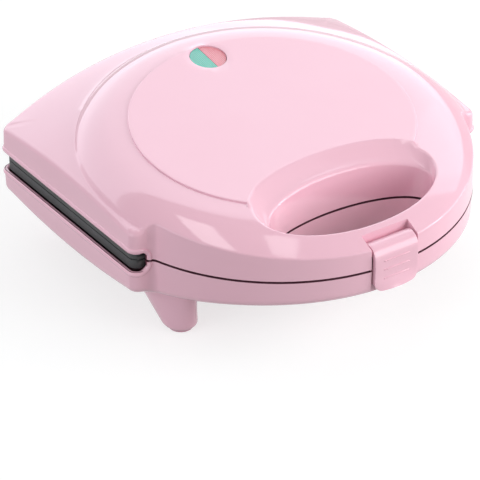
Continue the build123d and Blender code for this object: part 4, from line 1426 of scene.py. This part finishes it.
@dataclass
class Latch:
    """Pivoting latch: a face rounded over its pin, a flared lip, an inner hook and ribs."""

    half_width: float = 14.3
    face: float = -147.2
    pin_y: float = -139.8
    pin_z: float = 9.3
    barrel_r: float = 4.0
    thick: float = 2.9
    lip_z: float = -6.0
    bottom: float = -13.0
    lip_out: float = 2.4
    bulge: float = 2.2
    corner: float = 4.5
    soft: float = 0.7
    hook: float = 0.7
    hook_z: Pair = (-9.3, -7.5)
    inner_gap: float = 0.2
    rib_spans: tuple[Pair, ...] = ((-6.4, 8.0), (-8.0, -7.3))
    rib_r: float = 0.42
    rib_root: float = 0.2
    rib_top: float = 4.5
    rib_step: float = 5.5

    def round_top(self) -> Pair:
        """Radius of the face's rounded top, and the height of its middle."""
        radius = self.pin_y - self.face
        return radius, self.pin_z + self.barrel_r - radius

    def front(self, u: float, z: float) -> float:
        """Depth of the face.

        Args:
            u: Share of the half width.
            z: Height.

        Returns:
            The place of the face along y.
        """
        radius, middle = self.round_top()
        if z > middle:
            return self.pin_y - math.sqrt(max(radius**2 - (z - middle) ** 2, 0))
        if z > self.lip_z:
            return self.face
        flare = ((self.lip_z - z) / (self.lip_z - self.bottom)) ** 1.15
        return self.face - (self.lip_out - self.bulge * u * u) * flare

    def side(self, z: float) -> float:
        """Half width at a height, less at the rounded bottom corners."""
        over = max(self.bottom + self.corner - z, 0)
        return self.half_width - self.corner + math.sqrt(max(self.corner**2 - over**2, 0))

    def heights(self) -> list[float]:
        """Heights of the rows, close together where the face bends.

        Returns:
            The heights, from the top down.
        """
        (radius, middle), quarter = self.round_top(), math.pi / 2
        top = [middle + radius * math.cos(t) for t in np.linspace(0, quarter, 16)]
        rise = [self.corner * (1 - math.sin(t)) for t in np.linspace(0, quarter, 12)]
        corner = [self.bottom + height for height in rise]
        straight = list(np.linspace(middle, self.lip_z, 9)[1:])
        lip = list(np.linspace(self.lip_z, corner[0], 5)[1:-1])
        return top + straight + lip + corner

    def build(self, material: Material) -> Object:
        """Builds the latch without its ribs.

        Args:
            material: Finish of the latch.

        Returns:
            The piece.
        """
        bm = bmesh.new()
        shares = np.linspace(-1, 1, 21)
        rows = []
        for z in self.heights():
            w = self.side(z)
            points = [placed(u * w, self.front(u * w / self.half_width, z), z) for u in shares]
            rows.append([bm.verts.new(point) for point in points])
        bridge(bm, rows[::-1], closed=False)
        piece = finish_piece("latch_body", to_mesh(bm, "latch_face"), material)
        wall = piece.modifiers.new("wall", "SOLIDIFY")
        wall.thickness = self.thick * MM
        wall.offset = -1.0
        softened(piece, self.soft, 4, 50.0)
        bm = bmesh.new()
        bm.from_mesh(piece.data)
        r, w = self.barrel_r, self.half_width - self.inner_gap
        barrel = [(self.pin_y + r * math.cos(t), self.pin_z + r * math.sin(t)) for t in turns(40)]
        extruded(bm, barrel, -w, w)
        inner, out, (low, high) = self.face + self.thick, self.hook, self.hook_z
        hook = [(inner - out, low), (inner + out, low), (inner, high), (inner - out, high)]
        extruded(bm, hook, -w, w)
        bmesh.ops.recalc_face_normals(bm, faces=bm.faces)
        bm.to_mesh(piece.data)
        bm.free()
        piece.data.set_sharp_from_angle(angle=math.radians(40))
        return piece

    def rib_outline(self, x0: float, x1: float) -> list[Pair]:
        """Outline of a rib or dot with round ends.

        Args:
            x0: Middle of its left end.
            x1: Middle of its right end.

        Returns:
            Its corners in x, and in z about its middle line.
        """
        outline, r = [], self.rib_r
        for x, start in ((x0, math.pi / 2), (x1, -math.pi / 2)):
            for turn in (start + math.pi * i / 8 for i in range(9)):
                outline.append((x + r * math.cos(turn), r * math.sin(turn)))
        return outline

    def ribs(self, material: Material) -> Object:
        """Builds the three ribs of the face, each with a dot at its left end.

        Args:
            material: Finish of the latch.

        Returns:
            The piece.
        """
        bm, root, top = bmesh.new(), self.rib_root, self.rib_top
        for x0, x1 in self.rib_spans:
            rows = []
            for width, out in ((1.0, -root), (1.0, root), (0.5, self.rib_r)):
                outline = self.rib_outline(x0, x1)
                middles = [min(max(x, x0), x1) for x, _ in outline]
                rows.append(
                    [
                        placed(m + (x - m) * width, self.face - out, top + z * width)
                        for m, (x, z) in zip(middles, outline, strict=True)
                    ]
                )
            bm.faces.new(bridge(bm, rows)[-1])
        bmesh.ops.recalc_face_normals(bm, faces=bm.faces)
        recipe = Recipe("ribs_in_a_column", Count="Int", Step="Vector")
        line = recipe.node(
            "GeometryNodeMeshLine",
            {"Count": recipe.given["Count"], "Offset": recipe.given["Step"]},
            mode="OFFSET",
        )
        copies = recipe.node(
            "GeometryNodeInstanceOnPoints",
            {"Points": line.outputs["Mesh"], "Instance": recipe.given["Geometry"]},
        )
        recipe.finish(copies.outputs["Instances"], material)
        step = (0.0, 0.0, -self.rib_step * MM)
        return recipe.work("latch_ribs", to_mesh(bm, "rib"), material, Count=3, Step=step)


def linear(colour: Triple) -> tuple[float, ...]:
    """Linear colour and its alpha, from a colour on a screen with values of 0 to 255."""
    parts = (v / 255 for v in colour)
    return (*(v / 12.92 if v <= 0.04045 else ((v + 0.055) / 1.055) ** 2.4 for v in parts), 1.0)


class Effect(Group):
    """Shared shader effect, built once as a node group and placed in each material."""

    def __init__(self, name: str, **inputs: float | tuple) -> None:
        """Starts a group.

        Args:
            name: Its name.
            **inputs: Default of each input, with _ for a space in its name.
        """
        kinds = {
            key.replace("_", " "): ("Color" if isinstance(value, tuple) else "Float", value)
            for key, value in inputs.items()
        }
        super().__init__(name, "ShaderNodeTree", kinds)
        self.place = self.node("ShaderNodeTexCoord", {}).outputs["Object"]

    def noise(self, **inputs: float | Socket) -> Socket:
        """Noise over the object's own coordinates, unless a Vector is among the inputs."""
        return self.node("ShaderNodeTexNoise", {"Vector": self.place, **inputs}).outputs["Fac"]


class Effects:
    """The effects that the finishes share."""

    def __init__(self) -> None:
        """Builds every group."""
        self.grain = self.moulded_grain()
        self.clouds = self.tone_clouds()
        self.marks = self.handling_marks()
        self.lines = self.drawn_lines()

    @staticmethod
    def moulded_grain() -> bpy.types.NodeTree:
        """Fine pebbled grain with a faint long wave, as a normal and a mask.

        Returns:
            The group.
        """
        effect = Effect("moulded_grain", Grains_per_metre=1500.0, Depth=0.05, Wave=0.1)
        given = effect.given
        fine = effect.noise(Scale=given["Grains per metre"], Detail=2.0, Roughness=0.6)
        broad = effect.noise(Scale=22.0, Detail=1.0)
        long = effect.node(
            "ShaderNodeBump", {"Distance": 0.002, "Strength": given["Wave"], "Height": broad}
        ).outputs["Normal"]
        small = {"Distance": 0.0004, "Strength": given["Depth"], "Height": fine, "Normal": long}
        effect.give("Normal", "Vector", effect.node("ShaderNodeBump", small).outputs["Normal"])
        effect.give("Mask", "Float", fine)
        return effect.tree

    @staticmethod
    def tone_clouds() -> bpy.types.NodeTree:
        """Slow change between two close tones, as where plastic flowed in its mould.

        Returns:
            The group.
        """
        white = (1, 1, 1, 1)
        effect = Effect("tone_clouds", Tone=white, Other_tone=white, Clouds_per_metre=18.0)
        given = effect.given
        noise = effect.noise(Scale=given["Clouds per metre"], Detail=3.0, Distortion=0.4)
        spread = effect.node(
            "ShaderNodeMapRange", {"From Min": 0.35, "From Max": 0.65, "Value": noise}
        )
        tones = {"Factor": spread.outputs["Result"], "A": given["Tone"], "B": given["Other tone"]}
        mix = effect.node("ShaderNodeMix", tones, data_type="RGBA")
        effect.give("Colour", "Color", mix.outputs["Result"])
        return effect.tree

    @staticmethod
    def handling_marks() -> bpy.types.NodeTree:
        """Roughness that drifts a little, with faint fine rubbed streaks.

        Returns:
            The group.
        """
        effect = Effect("handling_marks", Smoothest=0.2, Roughest=0.3)
        drift = effect.noise(Scale=26.0, Detail=5.0, Distortion=0.8)
        turned = effect.node(
            "ShaderNodeMapping",
            {"Vector": effect.place, "Rotation": (0.0, 0.0, 0.5), "Scale": (1.0, 14.0, 6.0)},
        )
        rub = effect.noise(Vector=turned.outputs["Vector"], Scale=40.0, Detail=3.0)
        both = effect.node("ShaderNodeMath", {0: rub, 1: 0.35, 2: drift}, operation="MULTIPLY_ADD")
        spread = effect.node(
            "ShaderNodeMapRange",
            {
                "Value": both.outputs["Value"], "From Min": 0.45, "From Max": 0.85,
                "To Min": effect.given["Smoothest"], "To Max": effect.given["Roughest"],
            },
        )
        effect.give("Roughness", "Float", spread.outputs["Result"])
        return effect.tree

    @staticmethod
    def drawn_lines() -> bpy.types.NodeTree:
        """Fine parallel lines along x, as on drawn metal or a ribbed lens.

        Returns:
            The group.
        """
        effect = Effect("drawn_lines", Lines_per_metre=900.0, Depth=0.3)
        split = effect.node("ShaderNodeSeparateXYZ", {"Vector": effect.place})
        value = split.outputs["X"]
        for factor in (effect.given["Lines per metre"], 2 * math.pi):
            step = effect.node("ShaderNodeMath", {0: value, 1: factor}, operation="MULTIPLY")
            value = step.outputs["Value"]
        wave = effect.node("ShaderNodeMath", {0: value}, operation="SINE")
        level = effect.node(
            "ShaderNodeMapRange", {"Value": wave.outputs["Value"], "From Min": -1.0}
        ).outputs["Result"]
        relief = {"Distance": 0.0003, "Strength": effect.given["Depth"], "Height": level}
        effect.give("Normal", "Vector", effect.node("ShaderNodeBump", relief).outputs["Normal"])
        effect.give("Mask", "Float", level)
        return effect.tree


@dataclass(frozen=True)
class Finish:
    """One finish: two close tones, a range of gloss and a fine relief."""

    name: str
    tone: Triple
    other: Triple
    gloss: Pair
    grains: float = 1500.0
    depth: float = 0.05
    wave: float = 0.0
    metal: float = 0.0
    clear: float = 0.0
    lines: float = 0.0
    clouds: float = 18.0
    bending: float = 1.48

    def make(self, effects: Effects) -> Material:
        """Builds the material.

        Args:
            effects: The shared node groups.

        Returns:
            The material.
        """
        material = bpy.data.materials.new(self.name)
        material.use_nodes = True
        tree = Tree(material.node_tree)
        tones = {"Tone": linear(self.tone), "Other tone": linear(self.other)}
        clouds = tree.node(
            "ShaderNodeGroup", {"Clouds per metre": self.clouds, **tones}, node_tree=effects.clouds
        )
        gloss = dict(zip(("Smoothest", "Roughest"), self.gloss, strict=True))
        marks = tree.node("ShaderNodeGroup", gloss, node_tree=effects.marks)
        if self.lines:
            shared, sizes = effects.lines, {"Lines per metre": self.lines}
        else:
            shared, sizes = effects.grain, {"Grains per metre": self.grains, "Wave": self.wave}
        relief = tree.node("ShaderNodeGroup", {"Depth": self.depth, **sizes}, node_tree=shared)
        inputs = {
            "Base Color": clouds.outputs["Colour"],
            "Roughness": marks.outputs["Roughness"],
            "Normal": relief.outputs["Normal"],
            "Metallic": self.metal,
            "Transmission Weight": self.clear,
            "IOR": self.bending,
        }
        tree.feed(material.node_tree.nodes["Principled BSDF"], inputs)
        return material


FINISHES = {
    "casing": Finish(
        "pink_gloss_plastic", (240, 190, 206), (239, 188, 204), (0.045, 0.07),
        grains=1400.0, depth=0.004, wave=0.002,
    ),
    # Matt unpolished inside of the mouldings, its tone darkened far below the casing's as painted
    # shade, so the parting gap and window edges read dark.
    "inside": Finish(
        "pink_inside_painted_shade", (104, 58, 72), (98, 54, 68), (0.55, 0.65), grains=2200.0, depth=0.1
    ),
    "cover": Finish(
        "black_matt_plastic", (60, 58, 59), (50, 49, 50), (0.5, 0.62), grains=2200.0, depth=0.2
    ),
    "plate_coating": Finish(
        "black_nonstick", (66, 67, 68), (54, 55, 56), (0.42, 0.6), grains=2600.0, depth=0.3
    ),
    "sheet_steel": Finish(
        "bent_sheet", (200, 200, 197), (180, 180, 178), (0.25, 0.42), metal=1.0, lines=1600.0
    ),
    "element_tube": Finish(
        "heat_darkened_tube", (128, 122, 120), (92, 84, 88), (0.4, 0.6),
        grains=900.0, depth=0.15, metal=1.0, clouds=60.0,
    ),
    "fastener_steel": Finish(
        "zinc_plate", (206, 207, 210), (190, 192, 196), (0.22, 0.4),
        grains=3000.0, depth=0.1, metal=1.0,
    ),
    "foot_rubber": Finish(
        "foot_rubber", (214, 164, 180), (206, 156, 172), (0.65, 0.85), grains=1800.0, depth=0.35
    ),
    "terminal_plastic": Finish("ivory_plastic", (238, 234, 222), (230, 225, 210), (0.4, 0.5)),
    "fuse_case": Finish("fuse_case", (214, 186, 126), (196, 168, 112), (0.25, 0.4), metal=1.0),
    "thermostat_case": Finish(
        "phenolic", (84, 64, 52), (70, 54, 46), (0.35, 0.5), grains=2000.0, depth=0.2
    ),
    "green_lens": Finish(
        "sea_green_lens", (36, 178, 156), (32, 166, 144), (0.1, 0.2), lines=900.0, depth=0.5
    ),
    "red_lens": Finish(
        "soft_red_lens", (220, 118, 130), (210, 108, 120), (0.1, 0.2), lines=900.0, depth=0.5
    ),
    "lamp_holder": Finish("white_plastic", (236, 236, 232), (226, 226, 222), (0.4, 0.5)),
    "lamp_glass": Finish(
        "lamp_glass", (246, 240, 236), (240, 234, 228), (0.03, 0.08), depth=0.02, clear=1.0
    ),
}


@dataclass(frozen=True)
class Lamp:
    """Soft box, which lights surfaces or only shows in their gloss."""

    name: str
    at: Triple
    towards: Triple
    size: Pair
    watts: float
    colour: Triple = (1.0, 1.0, 1.0)
    diffuse: bool = True

    def hang(self) -> None:
        """Puts the lamp into the scene."""
        data = bpy.data.lights.new(self.name, "AREA")
        data.shape = "RECTANGLE"
        data.size, data.size_y = self.size
        data.energy = self.watts
        data.color = self.colour
        lamp = in_scene(self.name, data)
        lamp.visible_diffuse = self.diffuse
        aim = (Vector(self.towards) - Vector(self.at)).to_track_quat("-Z", "Y")
        lamp.matrix_world = Matrix.Translation(Vector(self.at)) @ aim.to_matrix().to_4x4()


PALE_BLUE = (0.9, 0.91, 1.0)
BODY = (0.0, 0.0, 0.05)
LAMPS = (
    Lamp("rear_sky", (0.193, 1.376, 0.975), (0, 0, -0.9), (3.8, 1.77), 13.0, (0.95, 0.96, 1.0)),
    Lamp("rear_sheen", (0.438, 1.528, 0.84), (0, 0, -1.33), (3.3, 2.26), 48.0, PALE_BLUE, False),
    Lamp("right_sheen", (0.9, 0.12, 0.98), BODY, (0.9, 0.7), 1.2, PALE_BLUE, False),
    Lamp("front_box", (0.97, -1.15, 0.6), BODY, (1.3, 1.1), 18.5),
    Lamp("right_box", (1.4, -0.5, 0.45), BODY, (0.8, 0.6), 6.0),
    Lamp("left_box", (-1.45, 0.0, 0.5), BODY, (1.2, 0.9), 8.0, (0.93, 0.95, 1.0)),
    Lamp("window_left", (-0.06, 0.17, 1.5), (0.026, 0.293, 0), (0.2, 0.6), 1.5, diffuse=False),
    Lamp("window_right", (0.31, 0.03, 1.5), (0.396, 0.153, 0), (0.13, 0.52), 0.65, diffuse=False),
)


@dataclass
class Studio:
    """White floor, soft lamps and the camera."""

    target: Triple = (-0.01588, 0.00371, 0.00604)
    turn: float = 34.7456
    tilt: float = 32.3008
    away: float = 1.6
    lens: float = 210.1
    sensor: float = 36.0
    nearest: float = 0.05
    ambient: float = 0.42
    floor_tone: tuple[float, ...] = (0.38, 0.39, 0.385, 1.0)
    floor_glow: float = 0.69
    floor_r: float = 6.0
    white: tuple[float, ...] = (1.0, 1.0, 1.0, 1.0)

    def camera(self) -> None:
        """Sets the camera at the photograph's angle."""
        a, e = math.radians(self.turn), math.radians(self.tilt)
        right = Vector((math.cos(a), -math.sin(a), 0))
        ahead = Vector((math.sin(a) * math.cos(e), math.cos(a) * math.cos(e), -math.sin(e)))
        up = right.cross(ahead)
        data = bpy.data.cameras.new("camera")
        data.sensor_width = self.sensor
        data.lens = self.lens
        data.clip_start = self.nearest
        view = in_scene("camera", data)
        turned = Matrix((right, up, -ahead)).transposed().to_4x4()
        view.matrix_world = Matrix.Translation(Vector(self.target) - ahead * self.away) @ turned
        bpy.context.scene.camera = view

    @staticmethod
    def sees_white(tree: Tree) -> Socket:
        """Mask of the rays that see white: camera, glossy and transmission rays.

        Args:
            tree: Tree that takes its nodes.

        Returns:
            The mask, 1 for those rays and 0 for others.
        """
        path = tree.node("ShaderNodeLightPath", {}).outputs
        mask = path["Is Camera Ray"]
        for ray in ("Is Glossy Ray", "Is Transmission Ray"):
            larger = tree.node("ShaderNodeMath", {0: mask, 1: path[ray]}, operation="MAXIMUM")
            mask = larger.outputs["Value"]
        return mask

    def world(self) -> None:
        """Even light from all round, seen as white."""
        world = bpy.data.worlds.new("studio")
        bpy.context.scene.world = world
        world.use_nodes = True
        tree = Tree(world.node_tree)
        span = {"Value": self.sees_white(tree), "To Min": self.ambient, "To Max": 1.0}
        level = tree.node("ShaderNodeMapRange", span).outputs["Result"]
        tree.feed(world.node_tree.nodes["Background"], {"Strength": level, "Color": self.white})

    def floor(self) -> None:
        """White floor that keeps the object's soft shadow."""
        material = bpy.data.materials.new("floor")
        material.use_nodes = True
        tree = Tree(material.node_tree)
        seen = {0: self.sees_white(tree), 1: self.floor_glow}
        glow = tree.node("ShaderNodeMath", seen, operation="MULTIPLY")
        inputs = {
            "Base Color": self.floor_tone,
            "Roughness": 0.9,
            "Specular IOR Level": 0.0,
            "Emission Color": self.white,
            "Emission Strength": glow.outputs["Value"],
        }
        tree.feed(material.node_tree.nodes["Principled BSDF"], inputs)
        bm = bmesh.new()
        bmesh.ops.create_circle(bm, cap_ends=True, radius=self.floor_r, segments=96)
        plane = in_scene("floor", to_mesh(bm, "floor"))
        plane.data.materials.append(material)

    def build(self) -> None:
        """Sets up the camera, the floor and all the light."""
        bpy.context.scene.view_settings.view_transform = "Standard"
        self.camera()
        self.world()
        self.floor()
        for lamp in LAMPS:
            lamp.hang()


class SandwichMaker:
    """The whole object: its new pieces, their finishes and the bodies they ride on."""

    def __init__(self, frame: dict) -> None:
        """Makes the finishes and dresses the CAD nodes.

        Args:
            frame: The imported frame.
        """
        self.nodes = frame["nodes"]
        effects = Effects()
        self.finishes = {slot: finish.make(effects) for slot, finish in FINISHES.items()}
        for part in frame["record"]["subparts"]:
            mesh = self.nodes[part["node"]].data
            mesh.materials.clear()
            mesh.materials.append(self.finishes[part["material_slot"]])
            LOG.info("%s keeps its CAD shape in %s", part["node"], part["material_slot"])

    def ride(self, piece: Object, body: Body, *nodes: str) -> None:
        """Puts a piece on its body and hides the nodes that it stands for.

        Args:
            piece: The piece.
            body: The body.
            *nodes: The nodes.
        """
        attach(piece, body.value)
        if nodes:
            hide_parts(*nodes)
        LOG.info("%s: %d faces, rides on %s", piece.name, len(piece.data.polygons), body.value)

    def build(self) -> None:
        """Builds every new piece in order."""
        pink = self.finishes["casing"]
        plan = Plan()
        opening = Opening()
        # The inside finish is matt pink darkened as painted shade for the parting gap and window
        # edges.
        inside = self.finishes["inside"]
        self.ride(Lid(plan, LidForm(), opening).build(pink, inside), Body.LID, "upper_casing")
        self.ride(Base(plan, BaseForm(), opening).build(pink, inside), Body.BASE, "lower_casing")
        rods = rod_recipe(pink)
        bead = Bead(plan)
        self.ride(bead.build(Half.LID, rods, pink), Body.LID)
        self.ride(bead.build(Half.BASE, rods, pink), Body.BASE)
        self.ride(Legs().build(pink), Body.BASE)
        hinge = Hinge()
        self.ride(hinge.build(Half.LID, pink), Body.LID)
        self.ride(hinge.build(Half.BASE, pink), Body.BASE)
        self.ride(CordSeat().build(pink), Body.BASE)
        latch = Latch()
        self.ride(latch.build(pink), Body.LATCH, "latch")
        self.ride(latch.ribs(pink), Body.LATCH)


def main() -> None:
    """Loads the frame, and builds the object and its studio."""
    logging.basicConfig(level=logging.INFO, format="%(message)s")
    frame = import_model()
    bpy.context.view_layer.update()
    SandwichMaker(frame).build()
    Studio().build()


if __name__ == "__main__":
    main()
